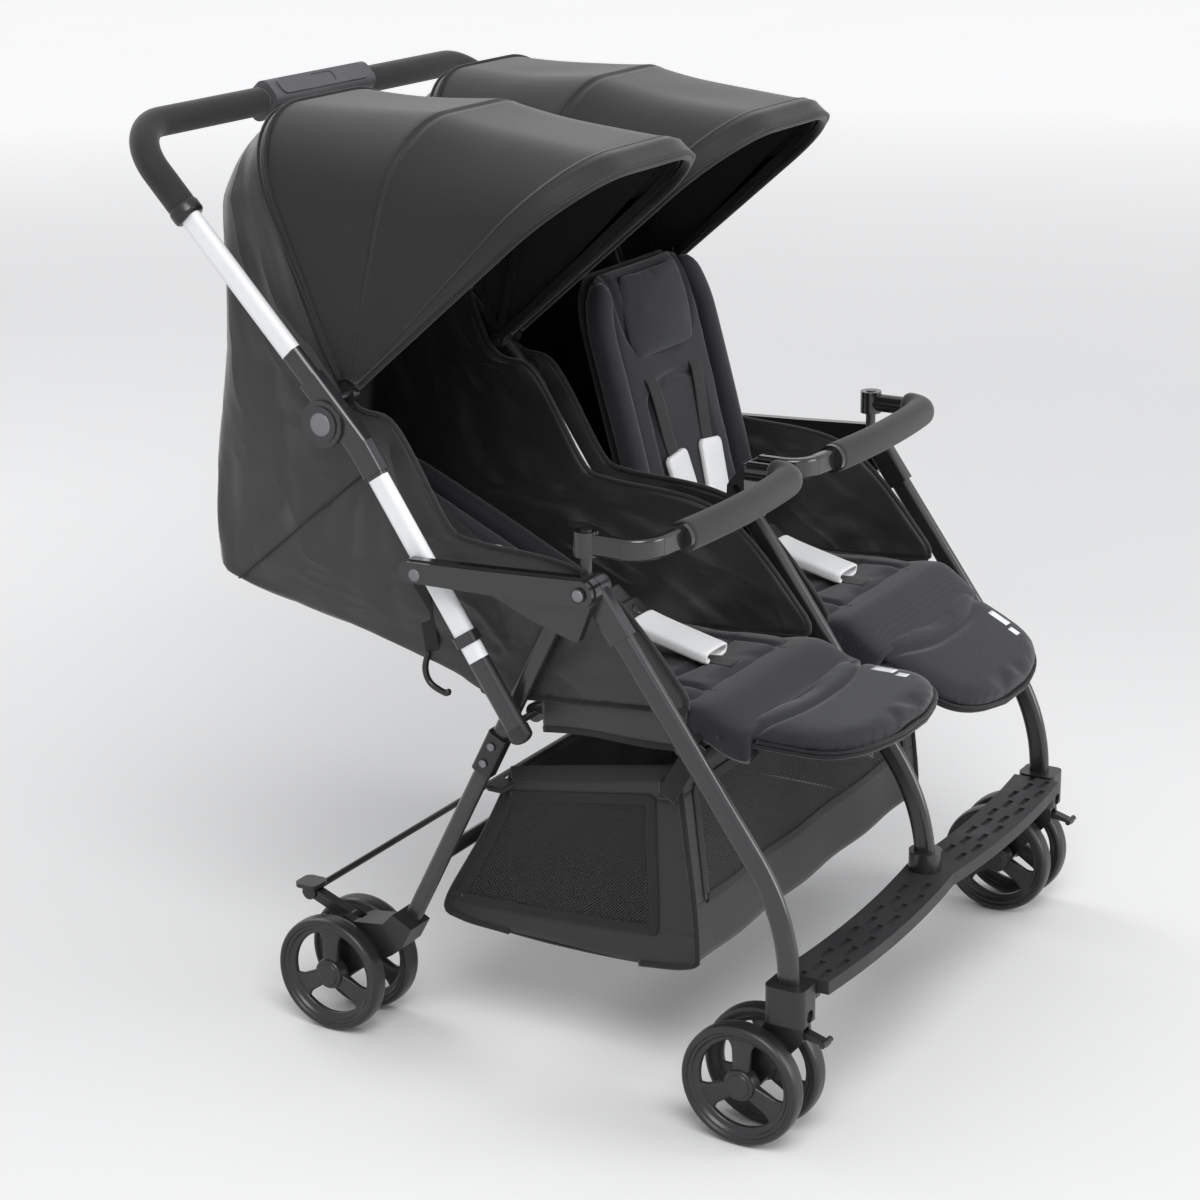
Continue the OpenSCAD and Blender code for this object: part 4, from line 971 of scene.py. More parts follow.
def canopy_points(angle, share, slack, lift, fold=0.0):
    """Points over the cloth, lifted off it: rounded arches at angles about the pivot, whose reach
    follows the cloth, at shares 0 to 1 of their length."""
    reach = cloth_reach(angle, slack) + CLOTH_OVER + lift + fold
    x, r = rounded_arch(CLOTH_HALF + lift, reach, CLOTH_CORNER, CLOTH_NEAR, share + 0 * angle)
    a = radians(angle)
    return np.stack([SEAT_X + x, CANOPY_PIVOT[0] + r * np.cos(a), CANOPY_PIVOT[1] + r * np.sin(a)], -1)


def canopy_grid(low, high, rows, slack, lift=2.0, folds=1.1):
    """Canopy cloth between two angles, with soft tension folds that fade towards the bows."""
    a = np.linspace(low, high, rows)[:, None]
    f = np.linspace(0, 1, 73)[None, :]
    t = (a - low) / (high - low)
    fold = folds * np.sin(PI * t) ** 2 * np.sin(9 * PI * f + 3 * t) * np.sin(PI * f) ** 0.5
    return canopy_points(a, f, slack, lift, fold)


def canopy_hem(slack, rows=9):
    """Flat band sewn round the front bow, one closed loop: the cloth's arches lifted above it, rising
    to a lip at the front edge, and back again below it."""
    low, high = BOW_FRONT[0] - 3.2, BOW_FRONT[0] + 1.8
    lip = 3.0 + 2.6 * np.linspace(0, 1, rows)[:, None] ** 3
    over, under = (canopy_grid(low, high, rows, slack, lift, folds=0.0) for lift in (lip, 0.4))
    return np.concatenate([over, under[::-1]]).transpose(1, 0, 2)


def canopy_line(angle, lift, slack, count=90):
    """Arch over the cloth at one angle."""
    return canopy_points(np.full(count, angle), np.linspace(0, 1, count), slack, lift)


def bow_side(bow):
    """Direction square to a bow's plane."""
    return (0.0, *ray(bow[0] + 90))


class STROLLER_OT_canopies(Piece, bpy.types.Operator):
    """Sew both canopies: two panels a side, piping on the rear bow, middle seam, front binding"""
    bl_idname = "stroller.canopies"
    bl_label = "Sew the canopies"

    def execute(self, context):
        size = context.scene.stroller_sizes
        slack = size.canopy_fold / MM
        inside = (SEAT_X, CANOPY_PIVOT[0] - 40, CANOPY_PIVOT[1] + 100)
        hold_share = 0.6
        line = lambda bow, turn, lift: canopy_line(bow[0] + turn, lift, slack)
        for name, side in SIDES:
            mid, front = f"canopy_mid_{name}", f"canopy_front_{name}"
            piping = piece(f"canopy_piping_{name}", [
                tube(line(BOW_REAR, turn, 2.6), 2.0, bow_side(BOW_REAR)) for turn in (-0.9, 1.3)],
                "binding", "push_frame", side)
            seam = piece(f"canopy_seam_{name}", [
                tube(line(BOW_MID, 0, 1.9), 0.9, bow_side(BOW_MID), flat=0.7),
                stitches(line(BOW_MID, -1.2, 2.1), bow_side(BOW_MID))], "canopy_cloth", mid, side)
            binding = piece(f"canopy_binding_{name}", [
                closed(canopy_hem(slack)),
                tube(line(BOW_FRONT, 1.6, -1.0), size.binding / MM, bow_side(BOW_FRONT), sides=16, flat=0.7),
                stitches(line(BOW_FRONT, -2.7, 3.5), bow_side(BOW_FRONT))], "canopy_cloth", front, side)
            for part, low, high, bodies, ends, held in (
                    ("rear", BOW_REAR[0] - 0.7, BOW_MID[0], ("push_frame", mid), (BOW_REAR, BOW_MID), [piping, seam]),
                    ("front", BOW_MID[0], BOW_FRONT[0] + 1.4, (mid, front), (BOW_MID, BOW_FRONT), [binding])):
                grid = canopy_grid(low, high, 26, slack)
                obj = piece(f"canopy_{part}_panel_{name}", [patch(grid)], "canopy_cloth", None, side,
                            [f"canopy_cloth_{name}"], centre=inside)
                thicken(obj, 1.6)
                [spot(side * SEAT_X, CANOPY_PIVOT + hold_share * reach * ray(angle))
                                         for angle, reach in ends]
                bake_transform(obj)
                declare_sheet(grid)
        return {"FINISHED"}


# Seat shells

# Points (y, z) that hold the shell's cloth, with the number, height and reach of the folds that fan out from them
SHELL_FANS = (((118, 690), 9.0, 8.0, 200.0), ((-60, 452), 7.0, 11.0, 190.0), ((-250, 452), 9.0, 9.0, 150.0),
              ((20, 620), 6.0, 8.0, 180.0))
# Side seam of the shell (y, z): the hanging back cloth lies over the smooth side panel behind it
SHELL_SEAM = np.array([(112.0, 676.0), (330.0, 500.0)])


def seam_distance(y, z):
    """Distance of points in side view from the shell's side seam, above it positive."""
    run = unit(SHELL_SEAM[1] - SHELL_SEAM[0])
    return -(y - SHELL_SEAM[0, 0]) * run[1] + (z - SHELL_SEAM[0, 1]) * run[0]


def leg_distance(y, z):
    """Distance of points in side view from the rear leg's middle line, large above the leg."""
    off = (y - REAR_PIVOT[0]) * REAR_RUN[1] - (z - REAR_PIVOT[1]) * REAR_RUN[0]
    return np.where(z < REAR_PIVOT[1] + 20, np.abs(off), 99.0)


def on_wall(grid, line):
    """Points of the shell's outer wall under a line in side view: the nearest points of the grid."""
    third = grid.shape[1] // 3
    wall = (grid[:, :third] if grid[:, 0, 0].mean() > SEAT_X else grid[:, -third:]).reshape(-1, 3)
    w = np.exp(-((wall[None, :, 1:] - line[:, None]) ** 2).sum(2) / 40.0)
    return np.column_stack([(w * wall[None, :, 0]).sum(1) / w.sum(1), line])


def fan(y, z, at, count, height, reach):
    """Folds that fan out from a point: ridges by angle round it, none at the point, fading with distance."""
    dy, dz = y - at[0], z - at[1]
    d = np.hypot(dy, dz)
    fold = np.abs(np.sin(count * np.arctan2(dz, dy) + 0.012 * d)) ** 0.7 - 0.62
    return height * fold * (d / (d + 45.0)) * ridge(d, reach)


def shell_grid(rows=84, columns=92):
    """Sewn shell round a seat: at each height a U from one front edge round the back to the other,
    the back outline and the front edge running side by side, narrowed under the canopy's arch,
    with slack folds that fade at the hems."""
    back, edge = smooth_path(SHELL_BACK, rows), smooth_path(SHELL_FRONT, rows)
    v = np.linspace(0, 1, rows)[:, None]
    u = np.linspace(0, 1, columns)[None, :]
    depth = np.linalg.norm(edge - back, axis=1)[:, None]
    forward = (edge - back) / np.maximum(depth, 1e-6)
    x, r = rounded_arch(SHELL_HALF, depth, np.minimum(30.0, 0.42 * depth), 0.0, u + 0 * v)
    side_view = lambda r: (back[:, k, None] + forward[:, k, None] * (depth - r) for k in (0, 1))
    y, z = side_view(r)
    hem = np.clip(np.minimum(u, 1 - u) * 9, 0, 1) * np.clip(np.minimum(v, 1 - v) * 10, 0, 1)
    wall = ramp(np.abs(x), 120, 142)  # 0 on the back, 1 on the side walls
    hang = ramp(seam_distance(y, z), 0, 26)  # 1 on the cloth that hangs over the side seam
    low = ramp(930 - z, 0, 220)  # fades towards the handle
    pleat = lambda w: np.abs(np.sin(w + 0.7 * np.sin(z / 80))) ** 0.8 - 0.55
    folds = hem * (1.4 * np.sin(10 * v + 7 * u + 1.1 * np.sin(9 * u))
                   + 5.0 * hang * low * pleat(y / 27 + 0.004 * z + 2 * u) + 3.0 * np.clip(2 * hang, 0, 1)
                   + sum(fan(y, z, *f) * (1 + 0.25 * np.sin(5 * u + k)) for k, f in enumerate(SHELL_FANS)))
    free = ramp(leg_distance(y, z), 14, 40)  # 0 beside the rear leg
    rear = hem * low * 4.5 * pleat(x / 36 + 0.003 * z)
    x = x + np.sign(x) * wall * (np.minimum(folds, free * 10.0) + 3.0 * hem * free)
    y, z = side_view(r - (1 - wall) * (rear - 1.5 * hem))
    # Wider where the rear bow passes inside, narrower under the canopy's rounded arch
    c, s = ray(BOW_REAR[0])
    up = (y - CANOPY_PIVOT[0]) * c + (z - CANOPY_PIVOT[1]) * s
    off = np.abs((z - CANOPY_PIVOT[1]) * c - (y - CANOPY_PIVOT[0]) * s)
    flare = 8.5 * np.clip(1 - off / 70, 0, 1) * ramp(up, 0, 60)
    arch = 45.5 + np.sqrt(np.maximum(106.5 ** 2 - np.maximum(up - BOW_REAR[1] + 110, 0) ** 2, 60.0))
    return np.stack([SEAT_X + x * np.minimum(arch, SHELL_HALF + flare) / SHELL_HALF, y, z], -1)


class STROLLER_OT_seat_shells(Piece, bpy.types.Operator):
    """Sew the two seat shells with their hems and back seam"""
    bl_idname = "stroller.seat_shells"
    bl_label = "Sew the seat shells"

    def execute(self, context):
        grid = shell_grid()
        rim = even_path(np.concatenate([grid[::-1, 0], grid[0, 1:], grid[1:, -1]]), 260)
        middle = grid[:, grid.shape[1] // 2] + [0, 1.2, -0.6]
        run = np.linspace(0.02, 0.93, 70)[:, None]
        quarter = on_wall(grid, SHELL_SEAM[0] + run * (SHELL_SEAM[1] - SHELL_SEAM[0])) + [1.0, 0, 0]
        for name, side in SIDES:
            shell = piece(f"seat_shell_cloth_{name}", [patch(grid)], "shell_cloth", "push_frame", side,
                          [f"seat_shell_{name}"], centre=(SEAT_X, 60, 640))
            thicken(shell, 2.0)
            hem = piece(f"seat_shell_hem_{name}", [tube(rim, 3.4, clear_of(rim), sides=10, flat=0.7)],
                        "binding", "push_frame", side)
            seam = piece(f"seat_shell_seams_{name}", [
                tube(even_path(middle, 90), 1.5, flat=0.8), tube(quarter, 2.2, sides=10, flat=0.6),
                stitches(even_path(middle + [4, 0.4, 0], 120), X_AXIS)], "binding", "push_frame", side)
            for obj in (shell, hem, seam):
                spot(0, TUBE_BEND)
                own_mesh(obj)
            declare_sheet(grid)
        return {"FINISHED"}


# Pads

# Seams of the backrest pad in its own plan (across, along)
BACK_SEAMS = {
    "head": [(-84, 386), (-80, 316), (-58, 282), (0, 270), (58, 282), (80, 316), (84, 386)],
    "torso": [(-60, 10), (-64, 180), (-56, 226), (0, 240), (56, 226), (64, 180), (60, 10)],
    "left": [(-98, 8), (-104, 120), (-104, 280), (-94, 388)],
    "right": [(98, 8), (104, 120), (104, 280), (94, 388)],
}
BACK_LENGTH, BACK_START, BACK_BOARD = 388, [0, 8, 0], -12.6
SEAT_SEAMS = ([(-84, 2), (-80, 90), (-84, 186)], [(84, 2), (80, 90), (84, 186)], [(-84, 70), (0, 58), (84, 70)])
LEG_SEAM = [(-122, 26), (-60, 44), (0, 48), (60, 44), (122, 26)]
LEG_HALF, LEG_LENGTH = 131, 152
# Reflective prints on a legrest: low and high end across, then along
PRINTS = ((92, 106, 54, 81), (86, 97, 86, 99))


def back_plan(v):
    """Width of a backrest along its length: full, with a round shoulder at the top."""
    return np.sqrt(np.clip(1 - ramp(v, 0.84, 1.0) ** 2 * 0.42, 0.03, 1))


def leg_plan(v):
    """Width of a legrest along its length: full, then a round tongue."""
    return np.sqrt(np.clip(1 - ramp(v, 0.45, 1.0) ** 3.2, 0.05, 1))


def hinge_bar(half, along, up):
    """Hinge rod across a seat part's own frame."""
    across = np.linspace(-half, half, 24)
    return np.stack([across, np.full(24, along), np.full(24, up)], 1)


def tongues(count, start, length, up, half, thick):
    """Three flat tongues that join a board to its hinge rod."""
    v = np.linspace(0, 1, count)
    section = loop(half, thick, 0.3, 16)
    return [closed(swept(np.stack([0 * v + x, length * v + start, 0 * v + up], 1), section, X_AXIS))
            for x in (-111, 0, 111)]


def back_board():
    """Board behind a backrest pad: a flat rounded bar as wide as the pad, thinning at its ends."""
    v = np.linspace(0, 1, 40)
    grid = swept(np.stack([0 * v, 4 + BACK_LENGTH * v, 0 * v + BACK_BOARD], 1), loop(1, 1, 0.3, 40), X_AXIS)
    grid[..., 0] *= (125 * back_plan(v) * (0.96 + 0.04 * rounded_ends(40, 0.06)))[:, None]
    grid[..., 2] = BACK_BOARD + (grid[..., 2] - BACK_BOARD) * 2.2 * rounded_ends(40, 0.03)[:, None]
    return closed(grid)


def bolster(s):
    """Round side bolster of a backrest, bending inwards at the top."""
    v = np.linspace(0, 1, 60)
    path = np.stack([s * (121 - 26 * ramp(v, 0.8, 1.0) ** 2), 14 + 366 * v, 9 + 3 * np.sin(PI * v)], 1)
    return closed(swept(path, loop(15, 15, 0.8, 28), X_AXIS, rounded_ends(60, 0.07)))


class STROLLER_OT_backrests(Piece, bpy.types.Operator):
    """Pad both backrests: inflated pad with sewn panels, head pillow, board and piping"""
    bl_idname = "stroller.backrests"
    bl_label = "Pad the backrests"

    def execute(self, context):
        size = context.scene.stroller_sizes
        depth, cap = size.seam_depth / MM, size.swell / MM
        pad, co, normal = inflated(pillow(127, BACK_LENGTH, low=-9, top=11, plan=back_plan), cap)
        lines = {k: smooth_path(p, 60) for k, p in BACK_SEAMS.items()}
        co = sewn(co, normal, list(lines.values()), depth, width=5.0)
        head_plan = lambda v: 0.86 + 0.14 * np.sin(PI * np.clip(v * 0.9 + 0.1, 0, 1))
        head, head_co, _ = inflated(pillow(78, 104, low=0, top=10, plan=head_plan, ends=0.14), cap * 0.7)
        for name, side in SIDES:
            at, body = on_back(name), f"backrest_{name}"
            main = show_pad(f"backrest_pad_{name}", pad, at(co + [0, 8, 1.5]), side, body, [body])
            cushion = show_pad(f"head_pillow_{name}", head, at(head_co + [0, 278, 12]), side, body)
            make = lambda part, patches, look: piece(
                f"backrest_{part}_{name}", [moved(p, at) for p in patches], look, body, side)
            make("board", [back_board(), tube(hinge_bar(139, along=0, up=0), 4.0, Y_AXIS),
                           *tongues(40, start=-1, length=26, up=-6, half=10, thick=8)], "pad_dark")
            bolsters = make("bolsters", [bolster(s) for s in (-1, 1)], "pad_cloth")
            make("piping", [tube(at_height(lines[k][:50], 9.5) + BACK_START, 1.6, (1, 0, 0.01), sides=8)
                            for k in ("left", "right")], "binding")
            make("stitching", [stitches(at_height(lines[k] * share, 13.2) + BACK_START, Z_AXIS)
                               for k, share in (("head", [0.94, 1.0]), ("torso", [0.91, 0.985]))], "thread")
        return {"FINISHED"}


def skirt_grid():
    """Cloth hanging beside a seat tube (rows along it, columns down), slightly wavy."""
    v, w = np.meshgrid(np.linspace(0, 1, 34), np.linspace(0, 1, 12), indexing="ij")
    return np.stack([307.6 + 1.6 * np.sin(PI * w) + 0.8 * np.sin(9 * v + 3 * w), SEAT_FRONT[0] + 14 + 178 * v,
                     446 - 8 * v - w * (40 + 2.0 * np.sin(7 * v))], -1)


class STROLLER_OT_seat_pads(Piece, bpy.types.Operator):
    """Pad both seats: inflated cushion with sewn channels, and a cloth skirt beside the seat tube"""
    bl_idname = "stroller.seat_pads"
    bl_label = "Pad the seats"

    def execute(self, context):
        size = context.scene.stroller_sizes
        depth, cap = size.seam_depth / MM, size.swell / MM
        pad, co, normal = inflated(pillow(129, 180, low=2, top=20, plan=np.ones_like, ends=0.09), cap * 0.8)
        seams = [smooth_path(p, 40) for p in SEAT_SEAMS]
        co = sewn(co, normal, seams, depth, width=5.0)
        flap = skirt_grid()
        for name, side in SIDES:
            show_pad(f"seat_cushion_{name}", pad, on_seat(co + [0, 4, 1.0]), side, "seat_frame",
                               [f"seat_pad_{name}"])
            skirt = piece(f"seat_skirt_{name}", [patch(flap)], "shell_cloth", "seat_frame", side,
                          centre=(0, -170, 430))
            thicken(skirt, 1.2)
            edging = piece(f"seat_skirt_tape_{name}", [
                band(flap[:, k] + [0.8, 0, 0], 7, 1.4, Z_AXIS) for k in (0, -1)], "binding", "seat_frame", side)
            declare_sheet(flap)
            rows = [moved(stitches(at_height(s * [0.96, 1], 22.0) + [0, 4, 0], Z_AXIS), on_seat) for s in seams[:2]]
            piece(f"seat_stitching_{name}", rows, "thread", "seat_frame", side)
        return {"FINISHED"}


def leg_rim():
    """Outline of a legrest in its own frame: out along one side, round the tongue and back."""
    v = np.linspace(0, 1, 36)
    half = LEG_HALF * leg_plan(v)
    line = np.stack([np.concatenate([half, -half[::-1]]), np.concatenate([v, v[::-1]]) * LEG_LENGTH], 1)
    return at_height(line, 9.0)


def leg_board(rim):
    """Board under a legrest pad: the outline at falling heights, drawn in below."""
    height, share = np.array([6.5, 3.0, 1.2, 0.6]), np.array([0.985, 0.985, 0.97, 0.93])[:, None]
    return closed(np.stack([rim[:, 0] * share, (rim[:, 1] - 70) * share + 70,
                            np.broadcast_to(height[:, None], (4, len(rim)))], -1))


def prints_on(co, side):
    """Reflective prints lying on a legrest pad's upper face, on the same side of both legrests."""
    for x0, x1, y0, y1 in PRINTS:
        x, y = np.meshgrid(np.linspace(x0, x1, 9), np.linspace(y0, y1, 7), indexing="ij")
        yield patch(np.stack([-x * side, y, surface_height(co, x, y) + 0.5], -1))


class STROLLER_OT_legrests(Piece, bpy.types.Operator):
    """Pad both legrests: inflated tongue, board, hinge bar, piping and two plain reflective prints"""
    bl_idname = "stroller.legrests"
    bl_label = "Pad the legrests"

    def execute(self, context):
        size = context.scene.stroller_sizes
        depth, cap = size.seam_depth / MM, size.swell / MM
        pad, co, normal = inflated(pillow(LEG_HALF, 151, low=5, top=22, plan=leg_plan, ends=0.08), cap * 0.8)
        co = sewn(co, normal, [smooth_path(LEG_SEAM, 40)], depth, width=6.0)
        rim = leg_rim()
        edge = even_path(rim[6:-6] * [0.975, 0.975, 1] + [0, 1.75, 0], 120)
        for name, side in SIDES:
            at, body = on_leg(name), f"legrest_{name}"
            main = show_pad(f"legrest_pad_{name}", pad, at(co), side, body, [body])
            make = lambda part, patches, look, centre=None: piece(
                f"legrest_{part}_{name}", [moved(p, at) for p in patches], look, body, side, (), centre)
            make("board", [leg_board(rim), tube(hinge_bar(140, along=-10, up=12), 4.0, Z_AXIS),
                           *tongues(36, start=-11, length=24, up=12, half=9, thick=3.2)], "pad_dark")
            make("piping", [tube(edge, 1.7, Z_AXIS, sides=8)], "pad_dark")
            thicken(make("prints", prints_on(co, side), "reflective", at([60, 100, -40])), 0.5)
            front, fall = at([[0.0, 22.0, 17.0], [0.0, 8.0, 18.5]])[:, 1:]
            line = smooth_path([(-226, 436), (-246, 442), (-270, 446), (-290, 444), fall, front], 40)
            cover = piece(f"legrest_cover_{name}", [closed(swept(
                at_x(SEAT_X, line), flap_profile(half=139.5, drop=33, thick=6.5), X_AXIS,
                0.97 + 0.03 * rounded_ends(40, 0.12)))], "pad_cloth", None, side)
            spot(side * SEAT_X, (-284, 440))
            spot(side * SEAT_X, fall)
            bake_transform(cover)
        return {"FINISHED"}


# Straps

def shoulder_x(s, y):
    """Place across of a shoulder strap at a height on the backrest: the straps part upwards."""
    return s * (44 - (168 - y) * np.sin(radians(7)))


class STROLLER_OT_harnesses(Piece, bpy.types.Operator):
    """Lay the shoulder straps, their white pads and slides on the backrests"""
    bl_idname = "stroller.harnesses"
    bl_label = "Lay the harnesses"

    def execute(self, context):
        v = np.linspace(0, 1, 40)
        y, y_pad = 262 - 190 * v, np.linspace(158, 52, 36)
        z = 20.8 + 1.2 * np.sin(3 * PI * v) * (v < 0.9) - 9 * ramp(0.06 - v, 0, 0.06)
        shape = 0.75 + 0.25 * rounded_ends(36, 0.09)
        for name, side in SIDES:
            at, body = on_back(name), f"backrest_{name}"
            straps, pads, slides = [], [], []
            for s in (-1, 1):
                straps.append(band(np.stack([shoulder_x(s, y), y, z], 1), 24, 1.8, X_AXIS))
                path = np.stack([shoulder_x(s, y_pad), y_pad, 0 * y_pad + 22.8], 1)
                pads.append(closed(swept(path, loop(24, 5.4, 0.55, 32), X_AXIS, shape)))
                slides.append(tube([[s * 31 - 13, 48, 20], [s * 31 + 13, 48, 20]], 2.2, Y_AXIS))
            make = lambda part, patches, look, replaced=(): piece(
                f"{part}_{name}", [moved(p, at) for p in patches], look, body, side, replaced)
            make("harness_straps", straps, "webbing", [f"harness_{name}"])
            make("shoulder_pads", pads, "white_pad")
            make("harness_slides", slides, "black_plastic")
        return {"FINISHED"}


def wrapped_pad(core):
    """Pad wrapped round a strap: an outer sleeve that turns in at its open front end to an inner
    one, its edges drawn back in a notch over the strap, closed round at the back."""
    count = len(core)
    step = np.arange(count)
    inside = step[:count // 3][::-1]
    rows = np.concatenate([inside, step])
    inner, outer = loop(21.5, 4.6, 0.55, 48), loop(25.5, 8.6, 0.55, 48)
    back = np.sqrt(np.clip(1 - ramp(step / (count - 1), 0.94, 1.0) ** 2, 0.15, 1))
    lip = 1 - 0.06 * np.clip(1 - step / 3, 0, 1)
    grid = np.concatenate([swept(core, inner, X_AXIS)[inside], swept(core, outer, X_AXIS, back * lip)])
    notch = 17.0 * ridge(outer[:, 0], 9.0) * (outer[:, 1] > 0)
    slide = notch[None] * np.clip(1 - 3 * rows / count, 0, 1)[:, None]
    return closed(grid + slide[..., None] * unit(np.gradient(core, axis=0))[rows][:, None])


class STROLLER_OT_crotch_straps(Piece, bpy.types.Operator):
    """Stand the crotch straps, white pads and buckles on the seats"""
    bl_idname = "stroller.crotch_straps"
    bl_label = "Stand the crotch straps"

    def execute(self, context):
        # The strap's foot on the seat, its rise from there and the buckle at its head
        foot = np.array([SEAT_X, *(SEAT_FRONT + [96, 33.2])])
        rise = [(-66, 1.6), (-40, 2), (-8, 9), (40, 21), (66, 31), (84, 47)]
        path = at_x(SEAT_X, smooth_path(np.array(rise) + foot[1:], 60))
        lift, up = np.array([[0, *ray(40)], [0, *ray(130)]])
        start = foot + [0, 50, 21]
        t = np.linspace(0, 1, 26)[:, None]
        body, tongue = start + 40 * t * lift + 7 * up, start + (34 + 28 * t) * lift + 6 * up
        button = [(0.2, 1.6), (5, 1.5), (6.6, 0.6), (7, -1)]
        for name, side in SIDES:
            piece(f"crotch_webbing_{name}", [band(path, 26, 2.0, X_AXIS)], "webbing", "seat_frame", side,
                  [f"crotch_strap_{name}"])
            piece(f"crotch_pad_{name}", [wrapped_pad(even_path(path[9:48] + [0, 0, 7.5], 60))],
                            "white_pad", "seat_frame", side)
            piece(f"buckle_{name}", [
                closed(swept(body, loop(22, 6.4, 0.45, 32), X_AXIS, rounded_ends(26, 0.22))),
                closed(swept(tongue, loop(14, 4.6, 0.4, 28), X_AXIS, rounded_ends(26, 0.16))),
                spun(button, start + 22 * lift + 13 * up, up, 24)], "black_plastic", "seat_frame", side)
        return {"FINISHED"}


class STROLLER_OT_recline_straps(Piece, bpy.types.Operator):
    """Hang the recline straps with their hooks at the shells' edges"""
    bl_idname = "stroller.recline_straps"
    bl_label = "Hang the recline straps"

    def execute(self, context):
        x = SEAT_X + 146.6
        fall = smooth_path(ARM_REAR + [(42, 17), (36, -20), (26, -70), (20, -112)], 40)
        hook = smooth_path(ARM_REAR + [(24, -106), (29, -128), (22, -144), (2, -152), (-1, -146)], 40)
        stud = [(0.2, 14), (7.5, 13.8), (9, 12.4), (9, 0.2), (0.2, 0.2)]
        for name, side in SIDES:
            strap = piece(f"recline_strap_{name}", [band(at_x(x, fall), 19, 1.6, Y_AXIS)],
                          "webbing", "push_frame", side, ["recline_straps"])
            clip = piece(f"recline_hook_{name}", [
                tube(at_x(x + 3, hook), 4.2, flat=0.8, grow=rounded_ends(40, 0.06)),
                spun(stud, (x - 1, *(ARM_REAR + [40, 16])), X_AXIS)], "black_plastic", "push_frame", side)
        return {"FINISHED"}


# Basket

def basket_grid(rows=90, columns=81):
    """Open basket: the side outline carried from end to end, sagging in the middle of the floor."""
    line = smooth_path(BASKET, rows)
    u = np.linspace(-1, 1, columns)[None, :]
    v = np.linspace(0, 1, rows)[:, None]
    sag = (1 - u ** 2) * np.sin(PI * v) ** 2
    ripple = 1.6 * np.sin(11 * u + 8 * v) * np.sin(PI * v)
    return np.stack([BASKET_HALF * u + 0 * v, line[:, 0, None] + ripple * 0.8,
                     line[:, 1, None] - sag + ripple * 0.5], -1)


def basket_end(rows=40, columns=44):
    """End wall of the basket: from the rear edge line to the front edge line at each height,
    bulging outwards between its hems."""
    rear = smooth_path([*BASKET[:4], (-20, 134)], rows)
    front = smooth_path([*BASKET[:5:-1], (-190, 133)], rows)
    u = np.linspace(0, 1, columns)[None, :]
    v = np.linspace(0, 1, rows)[:, None]
    p = rear[:, None] * (1 - u[..., None]) + front[:, None] * u[..., None]
    x = BASKET_HALF + (4.0 * np.sin(PI * u) + 1.2 * np.sin(9 * v + 7 * u)) * np.sin(PI * v)
    return np.concatenate([x[..., None], p], -1)


def with_window(grid, rows, columns):
    """A sheet cut round a window: the four strips beside it, the window's grid and its border."""
    (r0, r1), (c0, c1) = rows, columns
    hole = grid[r0:r1 + 1, c0:c1 + 1]
    strips = [patch(g) for g in (grid[:r0 + 1], grid[r1:], grid[r0:r1 + 1, :c0 + 1], grid[r0:r1 + 1, c1:])]
    border = np.concatenate([hole[0], hole[1:, -1], hole[-1, -2::-1], hole[-2::-1, 0]])
    return strips, hole, border


def tape(border, normal):
    """Flat tape sewn along a border, lying square to the normal."""
    return closed(swept(even_path(border, 200) + np.asarray(normal, float), loop(0.9, 6.0, 0.4, 16), normal))


